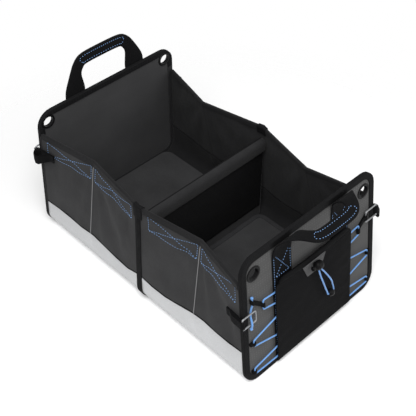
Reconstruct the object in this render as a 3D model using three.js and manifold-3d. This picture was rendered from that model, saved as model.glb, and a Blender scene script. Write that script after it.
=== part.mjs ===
// A folding storage box of cloth and board for the boot of a car.
// Millimetres, +Z up, origin on the ground under the middle of the base.
// +X runs from the rear end panel to the front end panel, which carries the laced pocket.

import * as THREE from 'three';
import { mergeVertices } from 'three/addons/utils/BufferGeometryUtils.js';
import Module from 'manifold-3d';

const wasm = await Module();
wasm.setup();

// The whole box, measured over the edge binding of the two end panels.
const boxLength = 560;
const boxHeight = 275;
const widthAtTop = 331;
const widthAtGround = 347;
const cornerRadius = 32;
const rearLean = 6.9; // how far the top of the rear panel leans in over the box
const frontLean = 34.7; // the same for the front panel

// Air left between two pieces that touch.
const clearance = 0.3;

// End panels: a stiff board with rounded corners, its edge wrapped in woven binding.
const panelThickness = 4;
const bindingCloth = 1.6;
const bindingWidth = 10.5;
const bindingProud = bindingCloth + clearance;

// Grommets in the upper corners of the end panels: distance from the middle and from the top.
const rearGrommet = new THREE.Vector2(145, 23);
const frontGrommet = new THREE.Vector2(137.5, 37);
const grommetBore = 10.6;
const grommetFlange = 15.4;
const grommetMetal = 1.4;

// Side walls: cloth folded in a zigzag, with one crease in each half.
const wallThickness = 2.4;
const wallInset = 1.5; // the wall's outer face lies this far inside the binding's edge
const wallTopAtCentre = 234;
const foldStart = 34; // height at which the folds begin
const creasePiping = 1.6;
const centreX = 4;

// The folds of a wall: where they are, how far its top dips there and how far it stands in.
// Along the box 0 is at the rear panel, 1 at the centre seam and 2 at the front panel.
const foldAlong = [0, 0.475, 1, 1.53, 2];
const leftFolds = { dip: [1, 1, 0, 8, 6], inset: [0, 21, 0, 29, 0] };
const rightFolds = { dip: [17, 10, 0, 9, 24], inset: [0, 39, 17, 41, 0] };

// The pale lower tub: its upper edge, at equal steps from the rear panel to the front one.
const tubEdge = [66, 68, 67, 64, 66.5, 63, 59, 57, 66, 60, 59.5, 64.5, 70, 74, 73, 74.5, 80];

// Bindings on the walls.
const rimCloth = 1.4;
const rimDepth = 9;
const seamWidth = 12;
const seamCloth = 1.4;
const seamTop = wallTopAtCentre - rimDepth - 2;

// Floor boards and divider.
const boardThickness = 3;
const boardHalfWidth = 150;
const facetAllowance = 0.6; // how far the faceted turn of the tub stands inside a true arc
const boardCorner = 18;
const boardBindingCloth = 1.4;
const boardBindingWidth = 9;
const dividerThickness = 4;
const dividerHeight = 198;
const dividerFlare = 0.02; // how much wider its right edge stands for each millimetre down
const dividerHemHeight = 22;
const dividerHemWall = 4;
const meshFoot = 34;
const meshCloth = 1.2;
const meshSlack = 2.4;

// Webbing that runs up an end panel, over as a handle, and down again.
const webbingWidth = 45;
const webbingThickness = 1.8;
const webbingSpread = 73;
const webbingFoot = bindingProud + bindingWidth + 0.5;
const webbingLeave = 257; // height at which the webbing leaves the panel
const gripWidth = 24;
const gripThickness = 5;
const rearHandleRise = 82;
const rearHandleLean = 10; // degrees turned outwards at the top of the arch
const frontHandleRise = 97;
const frontHandleLean = 115;

// The laced pocket on the front panel.
const pocketHalfWidth = 97;
const pocketFoot = 5;
const pocketTop = 200;
const pocketCorner = 24;
const pocketCloth = 2.5;
const pocketBulge = 4.5;
const hemHeight = 11;
const hemCloth = 1.2;
const tabTopHalf = 28.5;
const tabFootHalf = 17.5;
const tabBelowLock = 20;
const tabCloth = 1.5;
const tabCentre = -8;

// Elastic cord that laces the pocket to the panel, and what it turns through.
const laceRadius = 1.75;
const laceBend = 3;
const laceTuck = 88; // the cord turns down behind the pocket's edge here
const laceHeights = [170, 145, 115, 69, 43, 17];
const keeperSetback = 20.5; // from the panel's edge
const keeperHeights = [93, 25.5];
const keeperCloth = 1.8;
const keeperWidth = 6;
const tensionHeight = 164;
const tensionWidth = 10;

// Wire links at the four upper corners, and the webbing that carries them.
const wireRadius = 1.5;
const linkOverhang = 0.5; // of its outer bar, past the widest part of the box
const linkWidth = 30.5;
const linkOuter = Math.max(widthAtTop, widthAtGround) / 2 + linkOverhang;
const linkInner = linkOuter - linkWidth;
const linkHeight = 26;
const linkTurn = 2.6;
const rightLinkHeight = 180;
const leftLinkHeight = 156;
const rearLinkHeight = 191;
const leftEyeHeight = leftLinkHeight + linkHeight / 2 + 18;
const leftEyeShift = 4.5; // outwards of the link's inner bar
const tensionReach = linkInner - 20;
const cornerStrapWidth = 16;
const cornerStrapRoot = 32; // length of the strap along the side wall
const cornerCloth = 1.6;

// Cord lock, its loop of cord and the bead on the loop.
const lockRadius = 8.2;
const lockLength = 17;
const lockHeight = pocketTop - 17;
const buttonRadius = 4.4;
const buttonTravel = 3;
const cordRadius = 1.5;
const cordSpacing = 4.2;
const beadRadius = 7.4;
const beadLength = 11;
const beadPlace = new THREE.Vector2(31, lockHeight - 95);

const cloth = (color, roughness = 0.9) => new THREE.MeshStandardMaterial({ color, roughness, metalness: 0 });
const materials = {
  wall: cloth(0x424242),
  panel: cloth(0x5a5a5a),
  binding: cloth(0x1d1d1d, 0.8),
  tub: cloth(0xd4d4d4, 0.7),
  board: cloth(0x3c3c3c, 0.95),
  mesh: cloth(0x161616),
  hem: cloth(0x3a3a3a),
  webbing: cloth(0x232323, 0.85),
  pocket: cloth(0x1f1f1f),
  tab: cloth(0x4c4c4c),
  elastic: cloth(0x5c9be0, 0.6),
  plastic: new THREE.MeshStandardMaterial({ color: 0x141414, roughness: 0.4, metalness: 0 }),
  wire: new THREE.MeshStandardMaterial({ color: 0xb4b4b4, roughness: 0.35, metalness: 0.9 }),
};

const box = new THREE.Group();

// Closes a shape's surface: shared vertices are merged and the faces are turned outwards.
function solid(geometry) {
  let merged = geometry.index ? geometry.toNonIndexed() : geometry;
  merged = new THREE.BufferGeometry().setAttribute('position', merged.getAttribute('position').clone());
  merged = dropSlivers(mergeVertices(merged, 1e-3));
  if (volume(merged) < 0) {
    const index = merged.index.array;
    for (let i = 0; i < index.length; i += 3) {
      [index[i], index[i + 1]] = [index[i + 1], index[i]];
    }
  }
  merged.computeVertexNormals();
  return merged;
}

// Leaves out the triangles that merging has drawn together to a line.
function dropSlivers(geometry) {
  const index = geometry.index.array;
  const kept = [];
  for (let i = 0; i < index.length; i += 3) {
    const [a, b, c] = [index[i], index[i + 1], index[i + 2]];
    if (a !== b && b !== c && c !== a) kept.push(a, b, c);
  }
  geometry.setIndex(kept);
  return geometry;
}

function volume(geometry) {
  const at = geometry.getAttribute('position');
  const index = geometry.index.array;
  const corner = [0, 1, 2].map(() => new THREE.Vector3());
  let sum = 0;
  for (let i = 0; i < index.length; i += 3) {
    corner.forEach((point, k) => point.fromBufferAttribute(at, index[i + k]));
    sum += corner[0].dot(corner[1].clone().cross(corner[2])) / 6;
  }
  return sum;
}

function place(name, geometry, material, parent = box) {
  const mesh = new THREE.Mesh(solid(geometry), material);
  mesh.name = name;
  parent.add(mesh);
  return mesh;
}

function toManifold(geometry) {
  const closed = solid(geometry);
  const vertProperties = new Float32Array(closed.getAttribute('position').array);
  const triVerts = new Uint32Array(closed.index.array);
  return new wasm.Manifold(new wasm.Mesh({ numProp: 3, vertProperties, triVerts }));
}

function fromManifold(manifold) {
  const mesh = manifold.getMesh();
  const geometry = new THREE.BufferGeometry();
  geometry.setAttribute('position', new THREE.BufferAttribute(mesh.vertProperties.slice(), 3));
  geometry.setIndex([...mesh.triVerts]);
  return geometry;
}

const cut = (body, ...tools) => {
  const start = toManifold(body);
  return fromManifold(tools.reduce((left, tool) => left.subtract(toManifold(tool)), start));
};

const join = (...bodies) => {
  const [first, ...rest] = bodies.map(toManifold);
  return fromManifold(rest.reduce((whole, next) => whole.add(next), first));
};

// A polygon with its corners rounded, as points for a shape; radii go corner by corner.
function rounded(points, radii, steps = 6) {
  const outline = [];
  points.forEach((corner, i) => {
    const before = points[(i + points.length - 1) % points.length];
    const after = points[(i + 1) % points.length];
    const radius = Array.isArray(radii) ? radii[i] : radii;
    const a = before.clone().sub(corner).normalize();
    const b = after.clone().sub(corner).normalize();
    const half = Math.acos(THREE.MathUtils.clamp(a.dot(b), -1, 1)) / 2;
    const reach = radius / Math.tan(half);
    const middle = a.clone().add(b).normalize().multiplyScalar(radius / Math.sin(half)).add(corner);
    const start = corner.clone().addScaledVector(a, reach).sub(middle);
    const end = corner.clone().addScaledVector(b, reach).sub(middle);
    let sweep = end.angle() - start.angle();
    if (sweep > Math.PI) sweep -= 2 * Math.PI;
    if (sweep < -Math.PI) sweep += 2 * Math.PI;
    for (let k = 0; k <= steps; k++) {
      outline.push(start.clone().rotateAround(new THREE.Vector2(), (sweep * k) / steps).add(middle));
    }
  });
  return outline;
}

const corners = (...pairs) => pairs.map(([x, y]) => new THREE.Vector2(x, y));

function plate(outline, depth, holes = [], bevel = 0) {
  const clockwise = THREE.ShapeUtils.isClockWise(outline);
  const shape = new THREE.Shape(clockwise ? [...outline].reverse() : outline);
  holes.forEach((hole) => shape.holes.push(new THREE.Path(hole)));
  const settings = { depth: depth - 2 * bevel, bevelEnabled: bevel > 0, bevelSegments: 1 };
  Object.assign(settings, { bevelSize: bevel, bevelThickness: bevel, bevelOffset: -bevel });
  const geometry = new THREE.ExtrudeGeometry(shape, settings);
  return geometry.translate(0, 0, bevel);
}

const circle = (x, y, radius, points = 20) =>
  Array.from({ length: points }, (unused, i) => {
    const angle = (2 * Math.PI * i) / points;
    return new THREE.Vector2(x + radius * Math.cos(angle), y + radius * Math.sin(angle));
  });

// A sheet with thickness: outer(a, b) and inner(a, b) give its two faces over the listed steps.
function sheet(columns, rows, outer, inner) {
  const geometry = new THREE.BoxGeometry(1, 1, 1, columns.length - 1, rows.length - 1, 1);
  const at = geometry.getAttribute('position');
  for (let i = 0; i < at.count; i++) {
    const a = columns[Math.round((at.getX(i) + 0.5) * (columns.length - 1))];
    const b = rows[Math.round((at.getY(i) + 0.5) * (rows.length - 1))];
    const point = at.getZ(i) > 0 ? outer(a, b) : inner(a, b);
    at.setXYZ(i, point.x, point.y, point.z);
  }
  return geometry;
}

const steps = (from, to, count) =>
  Array.from({ length: count + 1 }, (unused, i) => from + ((to - from) * i) / count);

const blend = THREE.MathUtils.lerp;
const ease = THREE.MathUtils.smoothstep;

// A route of straight runs with rounded turns, walked station by station.
class Route extends THREE.Curve {
  constructor(points, bend, turnSteps = 3) {
    super();
    this.stations = [points[0]];
    for (let i = 1; i < points.length - 1; i++) {
      const a = points[i - 1].clone().sub(points[i]);
      const b = points[i + 1].clone().sub(points[i]);
      const half = a.angleTo(b) / 2;
      const reach = Math.min(bend / Math.tan(half), a.length() / 2.1, b.length() / 2.1);
      const start = a.setLength(reach).add(points[i]);
      const end = b.setLength(reach).add(points[i]);
      const turn = new THREE.QuadraticBezierCurve3(start, points[i], end);
      this.stations.push(...turn.getPoints(turnSteps));
    }
    this.stations.push(points[points.length - 1]);
  }

  get steps() {
    return this.stations.length - 1;
  }

  getPoint(t) {
    const along = t * this.steps;
    const i = Math.min(Math.floor(along), this.steps - 1);
    return this.stations[i].clone().lerp(this.stations[i + 1], along - i);
  }

  getPointAt(t) {
    return this.getPoint(t);
  }

  getTangentAt(t) {
    const i = Math.round(t * this.steps);
    const before = this.stations[Math.max(i - 1, 0)];
    const after = this.stations[Math.min(i + 1, this.steps)];
    return after.clone().sub(before).normalize();
  }
}

// A closed outline walked corner by corner, for wire bent into a link.
class Ring extends THREE.Curve {
  constructor(points) {
    super();
    this.points = points;
  }

  pointAt(i) {
    const count = this.points.length;
    return this.points[(i + count) % count].clone();
  }

  getPointAt(t) {
    return this.pointAt(Math.round(t * this.points.length));
  }

  getTangentAt(t) {
    const i = Math.round(t * this.points.length);
    return this.pointAt(i + 1).sub(this.pointAt(i - 1)).normalize();
  }
}

const bentWire = (points) => new THREE.TubeGeometry(new Ring(points), points.length, wireRadius, 8, true);

function cord(route, radius, sides = 8) {
  const section = new THREE.Shape(circle(0, 0, radius, sides));
  return new THREE.ExtrudeGeometry(section, { steps: route.steps, extrudePath: route });
}

// Each end panel has its own axes: x across, y up the panel, z outwards from its outer face.
function endPanel(sign, lean) {
  const angle = Math.atan(lean / boxHeight);
  const across = new THREE.Vector3(0, sign, 0);
  const up = new THREE.Vector3(-sign * Math.sin(angle), 0, Math.cos(angle));
  const out = new THREE.Vector3(sign * Math.cos(angle), 0, Math.sin(angle));
  const group = new THREE.Group();
  const lift = (panelThickness + bindingProud) * Math.sin(angle);
  group.position.set(sign * (boxLength / 2 - bindingProud), 0, lift);
  group.quaternion.setFromRotationMatrix(new THREE.Matrix4().makeBasis(across, up, out));
  group.updateMatrixWorld(true);
  box.add(group);
  return { sign, angle, group, height: boxHeight / Math.cos(angle) };
}

const rear = endPanel(-1, rearLean);
const front = endPanel(1, frontLean);

// Where the plane at a distance outwards from a panel's outer face stands at a height.
function panelX(end, height, outwards) {
  const rise = (height - end.group.position.z) * Math.sin(end.angle);
  return end.group.position.x + (end.sign * (outwards - rise)) / Math.cos(end.angle);
}

const halfWidth = (height) => blend(widthAtGround, widthAtTop, height / boxHeight) / 2;

// The outline of an end panel, drawn in from the edge of its binding.
function panelOutline(end, inset, steps = 6) {
  const low = inset;
  const high = end.height - inset;
  const widthLow = halfWidth(0) - inset;
  const widthHigh = halfWidth(boxHeight) - inset;
  const outline = corners([-widthLow, low], [widthLow, low], [widthHigh, high], [-widthHigh, high]);
  return rounded(outline, cornerRadius - inset, steps);
}

// The side walls and tub end this far inwards of a panel's outer face.
const wallEnd = -(panelThickness + bindingProud + clearance);
const rearX = (height) => panelX(rear, height, wallEnd);
const frontX = (height) => panelX(front, height, wallEnd);

const alongX = (along, height) =>
  along <= 1 ? blend(rearX(height), centreX, along) : blend(centreX, frontX(height), along - 1);

const alongAt = (x, height) =>
  x < centreX
    ? (x - rearX(height)) / (centreX - rearX(height))
    : 1 + (x - centreX) / (frontX(height) - centreX);

const foldsOf = (side) => (side < 0 ? leftFolds : rightFolds);

function betweenFolds(values, along) {
  const next = Math.max(1, foldAlong.findIndex((place) => place >= Math.min(along, 2)));
  const share = (along - foldAlong[next - 1]) / (foldAlong[next] - foldAlong[next - 1]);
  return blend(values[next - 1], values[next], share);
}

// The wall's outer face stands in further the higher it is, by the inset of its folds.
function wallY(side, x, height) {
  const rise = THREE.MathUtils.clamp((height - foldStart) / (wallTopAtCentre - foldStart), 0, 1.1);
  return halfWidth(height) - wallInset - rise * betweenFolds(foldsOf(side).inset, alongAt(x, height));
}

const wallTop = (side, along) => wallTopAtCentre - betweenFolds(foldsOf(side).dip, along);

function tubEdgeAt(along) {
  const place = (along / 2) * (tubEdge.length - 1);
  const i = Math.min(Math.floor(place), tubEdge.length - 2);
  return blend(tubEdge[i], tubEdge[i + 1], place - i);
}

// A point of the box's skin round one section: girth 0 under the middle, 1 at the given height.
const turnStart = 0.4;
const turnEnd = 0.75;
function skin(side, along, girth, top, inwards = 0) {
  const flat = wallY(side, alongX(along, cornerRadius), cornerRadius) - cornerRadius;
  if (girth >= turnEnd) {
    const height = blend(cornerRadius, top, (girth - turnEnd) / (1 - turnEnd));
    const x = alongX(along, height);
    return new THREE.Vector3(x, side * (wallY(side, x, height) - inwards), height);
  }
  const turn = Math.max(0, (girth - turnStart) / (turnEnd - turnStart)) * (Math.PI / 2);
  const radius = cornerRadius - inwards;
  const reach = girth < turnStart ? (flat * girth) / turnStart : flat + radius * Math.sin(turn);
  const height = cornerRadius - radius * Math.cos(turn);
  return new THREE.Vector3(alongX(along, height), side * reach, height);
}

function buildTub() {
  const half = [0, turnStart, ...steps(turnStart, turnEnd, 5).slice(1), 1];
  const rows = [...half.slice(1).reverse().map((girth) => -girth), ...half];
  const face = (inwards) => (along, girth) => {
    const top = tubEdgeAt(along) - clearance;
    return skin(Math.sign(girth) || 1, along, Math.abs(girth), top, inwards);
  };
  place('base_tub', sheet(steps(0, 2, 16), rows, face(0), face(wallThickness)), materials.tub);
}

function wallFace(side, along, share, inwards) {
  const height = blend(tubEdgeAt(along), wallTop(side, along), share);
  const x = alongX(along, height);
  return new THREE.Vector3(x, side * (wallY(side, x, height) - inwards), height);
}

function buildWall(name, side, offset) {
  // The piping stands proud over a narrow strip at the crease.
  const crease = offset ? 2 - foldAlong[3] : foldAlong[1];
  const strip = [-0.018, -0.01, 0, 0.01, 0.018].map((shift) => crease + shift);
  const columns = [0.0005, ...steps(0.125, 0.875, 6), ...strip, 0.9995].sort((a, b) => a - b);
  const rows = [0, 0.02, 0.25, 0.5, 0.75, 0.925, 0.94, 1];
  const bead = (a) => creasePiping * Math.max(0, 1 - ((a - crease) / 0.016) ** 2);
  const piping = (a, b) => (b > 0.01 && b < 0.93 ? bead(a) : 0);
  const along = (a) => (offset ? 2 - a : a);
  const outer = (a, b) => wallFace(side, along(a), b, -piping(a, b));
  const inner = (a, b) => wallFace(side, along(a), b, wallThickness);
  place(name, sheet(columns, rows, outer, inner), materials.wall);
}

// Cloth binding folded over the upper edge of a wall.
function buildRim(name, side) {
  const creases = [foldAlong[1], foldAlong[3]];
  const run = [0.007, ...steps(0.125, 1.875, 14), ...creases, 1.993].sort((a, b) => a - b);
  const middle = wallThickness / 2;
  const slot = middle + clearance;
  const wrap = slot + rimCloth;
  const section = corners(
    [-wrap, -rimDepth],
    [-slot, -rimDepth],
    [-slot, clearance],
    [slot, clearance],
    [slot, -rimDepth],
    [wrap, -rimDepth],
    [wrap, clearance],
    [slot * 0.6, clearance + rimCloth],
    [-slot * 0.6, clearance + rimCloth],
    [-wrap, clearance],
  );
  const rings = run.map((along) => {
    const top = wallTop(side, along);
    return section.map((point) => {
      const height = top + point.y;
      const x = alongX(along, Math.min(height, top));
      return new THREE.Vector3(x, side * (wallY(side, x, height) - middle + point.x), height);
    });
  });
  place(name, loft(rings, section), materials.binding);
}

// Skins a row of rings, each with one point per point of the section, and caps both ends.
function loft(rings, section) {
  const count = section.length;
  const points = rings.flat();
  const index = [];
  for (let i = 0; i < rings.length - 1; i++) {
    for (let k = 0; k < count; k++) {
      const a = i * count + k;
      const b = i * count + ((k + 1) % count);
      index.push(a, b, a + count, b, b + count, a + count);
    }
  }
  const last = (rings.length - 1) * count;
  const inward = THREE.ShapeUtils.area(section) > 0;
  THREE.ShapeUtils.triangulateShape(section, []).forEach(([a, b, c]) => {
    const [first, second] = inward ? [c, b] : [b, c];
    index.push(a, first, second, last + a, last + second, last + first);
  });
  const geometry = new THREE.BufferGeometry().setFromPoints(points);
  geometry.setIndex(index);
  return geometry;
}

// Binding tape over the seam that joins the two halves of a wall, down round the tub.
function buildCentreSeam(name, side) {
  const columns = [-seamWidth / 2, -seamWidth / 4, 0, seamWidth / 4, seamWidth / 2];
  const lowest = turnStart + 0.25 * (turnEnd - turnStart);
  const rows = [...steps(lowest, turnEnd, 4), ...steps(turnEnd, 1, 4).slice(1)];
  const face = (lift) => (shift, girth) => {
    const span = shift < 0 ? centreX - rearX(seamTop) : frontX(seamTop) - centreX;
    const point = skin(side, 1 + shift / span, girth, seamTop, -lift);
    return point;
  };
  const tape = sheet(columns, rows, face(2 * clearance + seamCloth), face(2 * clearance));
  place(name, tape, materials.binding);
}

function buildPanel(end, name, grommetPlace) {
  const centres = [-1, 1].map((side) => [side * grommetPlace.x, end.height - grommetPlace.y]);
  const holes = centres.map(([x, y]) => circle(x, y, grommetBore + grommetMetal + clearance));
  const board = plate(panelOutline(end, bindingProud), panelThickness, holes);
  place(`${name}_panel`, board.translate(0, 0, -panelThickness), materials.panel, end.group);
  buildPanelBinding(end, name, centres);
  ['left', 'right'].forEach((word, i) => {
    const [x, y] = centres[end.sign < 0 ? 1 - i : i];
    const ring = place(`${name}_grommet_${word}`, grommet(), materials.plastic, end.group);
    ring.rotation.x = Math.PI / 2;
    ring.position.set(x, y, 0);
  });
}

// The binding is a ring round the edge with a slot that the board fits in, let in for the grommets.
function buildPanelBinding(end, name, centres) {
  const inner = panelOutline(end, bindingProud + bindingWidth);
  const depth = panelThickness + 2 * bindingProud;
  const ring = plate(panelOutline(end, 0), depth, [inner], 1);
  const slot = plate(panelOutline(end, bindingCloth), panelThickness + 2 * clearance);
  ring.translate(0, 0, -(panelThickness + bindingProud));
  slot.translate(0, 0, -(panelThickness + clearance));
  const seats = centres.map(([x, y]) => plate(circle(x, y, grommetFlange + clearance, 24), depth + 2));
  seats.forEach((seat) => seat.translate(0, 0, -(panelThickness + bindingProud + 1)));
  place(`${name}_panel_binding`, cut(ring, slot, ...seats), materials.binding, end.group);
}

// A pressed eyelet: a flange on each face of the board and a barrel between them.
function grommet() {
  const face = clearance;
  const back = -(panelThickness + clearance);
  const shank = grommetBore + grommetMetal;
  const profile = corners(
    [grommetBore, back - grommetMetal],
    [grommetBore, face + grommetMetal * 0.6],
    [grommetBore + 1, face + grommetMetal],
    [grommetFlange - 1.5, face + grommetMetal],
    [grommetFlange, face + 0.3],
    [grommetFlange, face],
    [shank, face],
    [shank, back],
    [grommetFlange, back],
    [grommetFlange - 1, back - grommetMetal],
    [grommetBore, back - grommetMetal],
  );
  return new THREE.LatheGeometry(profile, 16);
}

// Floor boards lie loose on the tub, one in each compartment.
const tubFloor = wallThickness + clearance;
const tubTurn = cornerRadius - wallThickness;
const boardOverhang = boardHalfWidth - (halfWidth(cornerRadius) - wallInset - cornerRadius);
const rideUp = tubTurn - Math.sqrt(tubTurn ** 2 - boardOverhang ** 2);
const floorLevel = tubFloor + rideUp + facetAllowance;
const dividerFace = dividerThickness / 2 + 2 * clearance;

function floorOutline(fromX, toX, inset) {
  const half = boardHalfWidth - inset;
  const outline = corners(
    [fromX + inset, -half],
    [toX - inset, -half],
    [toX - inset, half],
    [fromX + inset, half],
  );
  return rounded(outline, boardCorner - inset, 5);
}

function buildFloor() {
  const rearStart = rearX(floorLevel + boardThickness) + clearance;
  const rearBoard = plate(floorOutline(rearStart, centreX - dividerFace, 0), boardThickness);
  place('rear_floor_board', rearBoard.translate(0, 0, floorLevel), materials.board);

  const proud = boardBindingCloth + clearance;
  const height = boardThickness + 2 * proud;
  const frontStart = centreX + dividerFace;
  const frontStop = frontX(floorLevel + height) - clearance;
  const board = plate(floorOutline(frontStart, frontStop, proud), boardThickness);
  place('front_floor_board', board.translate(0, 0, floorLevel + proud), materials.board);

  const opening = floorOutline(frontStart, frontStop, boardBindingWidth);
  const ring = plate(floorOutline(frontStart, frontStop, 0), height, [opening]);
  const slot = plate(floorOutline(frontStart, frontStop, boardBindingCloth), boardThickness + 2 * clearance);
  slot.translate(0, 0, boardBindingCloth);
  const binding = cut(ring, slot).translate(0, 0, floorLevel);
  place('front_floor_board_binding', binding, materials.binding);
}

// How far a piece of some half thickness at the centre seam reaches to a wall's inner face.
function dividerReach(side, height, half) {
  const narrowest = Math.min(wallY(side, centreX - half, height), wallY(side, centreX + half, height));
  return side * (narrowest - wallThickness - 2 * clearance);
}

// The divider follows the inside of the tub and the left wall; its right edge stands straight.
const dividerEdge = (height) =>
  dividerReach(1, dividerHeight, dividerThickness / 2) + dividerFlare * (dividerHeight - height);

function buildDivider() {
  const reach = (side, height) => dividerReach(side, height, dividerThickness / 2);
  const low = tubFloor;
  const high = dividerHeight;
  const turn = tubTurn - clearance;
  const foot = corners([reach(-1, 0), low], [reach(1, 0), low]);
  const head = corners([reach(1, high), high], [reach(-1, high), high]);
  const frame = [...foot, ...head];
  const outline = rounded(frame, [turn, turn, 4, 4], 5);
  outline.forEach((point) => point.setX(Math.min(point.x, dividerEdge(point.y))));
  const standing = (geometry) => geometry.rotateX(Math.PI / 2).rotateZ(Math.PI / 2);
  const board = standing(plate(outline, dividerThickness));
  board.translate(centreX - dividerThickness / 2, 0, 0);
  place('divider', board, materials.mesh);
  buildDividerHem();
}

// A padded roll of cloth along the divider's upper edge, with a slot that the board fits in.
const dividerTop = dividerHeight + clearance + dividerHemWall;
const dividerHemFoot = dividerTop - dividerHemHeight;

function buildDividerHem() {
  const slotHalf = dividerThickness / 2 + clearance;
  const half = slotHalf + dividerHemWall;
  const foot = corners([-half, dividerHemFoot], [half, dividerHemFoot]);
  const head = corners([half, dividerTop], [-half, dividerTop]);
  const section = [...foot, ...head];
  const crown = rounded(section, [3, 3, half - 1, half - 1], 4);
  const [from, to] = [-1, 1].map((side) => dividerReach(side, dividerTop, half));
  const roll = plate(crown, to - from).rotateX(Math.PI / 2).translate(centreX, to, 0);
  const slotDepth = 2 * (dividerHeight + clearance - dividerHemFoot);
  const slot = new THREE.BoxGeometry(2 * slotHalf, to - from + 2, slotDepth);
  slot.translate(centreX, (from + to) / 2, dividerHemFoot);
  place('divider_hem', cut(roll, slot), materials.hem);
}

// The mesh pocket lies slack on the divider's front face, bulging a little in the middle.
function buildMeshPocket() {
  const mouth = dividerHemFoot - 3;
  const from = dividerReach(-1, mouth, dividerThickness / 2) + 2;
  const to = dividerEdge(mouth) - 2;
  const net = (level) => (across, rise) => {
    const height = blend(meshFoot, mouth, rise);
    const slack = meshSlack * (1 - across ** 2) * Math.sin(Math.PI * rise * 0.75);
    const start = centreX + dividerThickness / 2 + clearance;
    return new THREE.Vector3(start + slack + level, blend(from, to, (across + 1) / 2), height);
  };
  const pocket = sheet(steps(-1, 1, 8), steps(0, 1, 4), net(meshCloth), net(0));
  place('divider_mesh_pocket', pocket, materials.mesh);
}

// Handle webbing, laid out flat as a band in the panel's plane and then bent outwards.
function buildHandle(end, name, rise, leanDegrees) {
  const lean = THREE.MathUtils.degToRad(leanDegrees);
  const radius = rise / lean;
  const arch = [
    [webbingSpread, 0],
    [webbingSpread - 0.5, 0.22],
    [webbingSpread - 3, 0.47],
    [webbingSpread - 8, 0.72],
    [webbingSpread - 18.5, 0.91],
    [webbingSpread - 32, 0.985],
    [0, 1],
  ].map(([across, share]) => new THREE.Vector3(across, webbingLeave + rise * share, 0));
  const mirrored = arch.slice(0, -1).reverse().map((point) => new THREE.Vector3(-point.x, point.y, 0));
  const curve = new THREE.CatmullRomCurve3([...arch, ...mirrored], false, 'centripetal');
  const bends = curve.getSpacedPoints(30);
  const straight = [webbingFoot, 130, 225, 241].map((height) => new THREE.Vector3(webbingSpread, height, 0));
  const down = straight.map((point) => new THREE.Vector3(-point.x, point.y, 0)).reverse();
  const line = [...straight, ...bends, ...down];

  const narrow = (point) => ease(point.y, webbingLeave + 0.25 * rise, webbingLeave + 0.8 * rise);
  const station = (i) => {
    const tangent = line[Math.min(i + 1, line.length - 1)].clone().sub(line[Math.max(i - 1, 0)]).normalize();
    return { at: line[i], side: new THREE.Vector3(tangent.y, -tangent.x, 0) };
  };
  const face = (outer) => (i, share) => {
    const { at, side } = station(i);
    const width = blend(webbingWidth, gripWidth, narrow(at));
    const thickness = blend(webbingThickness, gripThickness, narrow(at));
    const point = at.clone().addScaledVector(side, width * share);
    const swell = (thickness - webbingThickness) / 2;
    const lift = clearance + bindingProud * ease(point.y, 236, webbingLeave);
    const level = outer ? lift + webbingThickness + swell : lift - swell;
    const turn = Math.max(0, (point.y - webbingLeave) / radius);
    const up = Math.min(point.y, webbingLeave) + radius * Math.sin(turn) - level * Math.sin(turn);
    return new THREE.Vector3(point.x, up, radius * (1 - Math.cos(turn)) + level * Math.cos(turn));
  };
  const columns = line.map((unused, i) => i);
  const band = sheet(columns, [-0.5, 0, 0.5], face(true), face(false));
  place(`${name}_handle_webbing`, band, materials.webbing, end.group);
}

// The pocket stands off the panel so that the lacing and the webbing pass behind it.
const laceLevel = webbingThickness + 2 * clearance + laceRadius;
const pocketLevel = laceLevel + laceRadius + clearance;

function pocketFace(across, height) {
  const start = bindingProud + clearance;
  const foot = blend(start, pocketLevel, ease(height, pocketFoot, pocketFoot + 6));
  const dome = 1 - (Math.abs(across) / pocketHalfWidth) ** 3;
  return foot + pocketBulge * dome * ease(height, 30, pocketTop - 10);
}

function pocketEdge(across) {
  const over = Math.abs(across) - (pocketHalfWidth - pocketCorner);
  if (over <= 0) return pocketTop;
  return pocketTop - pocketCorner + Math.sqrt(Math.max(0, pocketCorner ** 2 - over ** 2));
}

function buildPocket() {
  const inside = pocketHalfWidth - pocketCorner;
  const turn = [1, 0.98, 0.88, 0.7, 0.45, 0.2].map((share) => inside + pocketCorner * share);
  const columns = [...turn.map((x) => -x), ...steps(-inside, inside, 6), ...turn.reverse()];
  const rows = [0, 0.018, 0.036, 0.14, 0.32, 0.52, 0.72, 0.88, 1];
  const body = (level) => (across, share) => {
    const height = blend(pocketFoot, Math.min(pocketEdge(across), pocketTop - hemHeight), share);
    return new THREE.Vector3(across, height, pocketFace(across, height) + level);
  };
  place('pocket', sheet(columns, rows, body(pocketCloth), body(0)), materials.pocket, front.group);

  // The hem is a roll of cloth along the mouth, thicker than the pocket below it.
  const hemHalf = inside + pocketCorner * 0.7;
  const strip = (outer) => (across, share) => {
    const foot = pocketTop - hemHeight + clearance;
    const height = blend(foot, Math.max(pocketEdge(across), foot + 1.5), share);
    const swell = hemCloth * Math.sin(Math.PI * blend(0.12, 0.88, share));
    const level = pocketFace(across, height) + (outer ? pocketCloth + swell : -swell);
    return new THREE.Vector3(across, height, level);
  };
  const run = steps(-hemHalf, hemHalf, 14);
  const hem = sheet(run, [0, 0.33, 0.67, 1], strip(true), strip(false));
  place('pocket_hem', hem, materials.pocket, front.group);

  const tab = (level) => (share, rise) => {
    const height = blend(lockHeight - tabBelowLock, pocketTop - hemHeight, rise);
    const across = tabCentre + share * blend(tabFootHalf, tabTopHalf, rise);
    return new THREE.Vector3(across, height, pocketFace(across, height) + pocketCloth + level);
  };
  const patch = sheet(steps(-1, 1, 4), steps(0, 1, 3), tab(clearance + tabCloth), tab(clearance));
  place('pocket_tab', patch, materials.tab, front.group);
}

const keeperReach = (height) => halfWidth(height) - keeperSetback;

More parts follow.
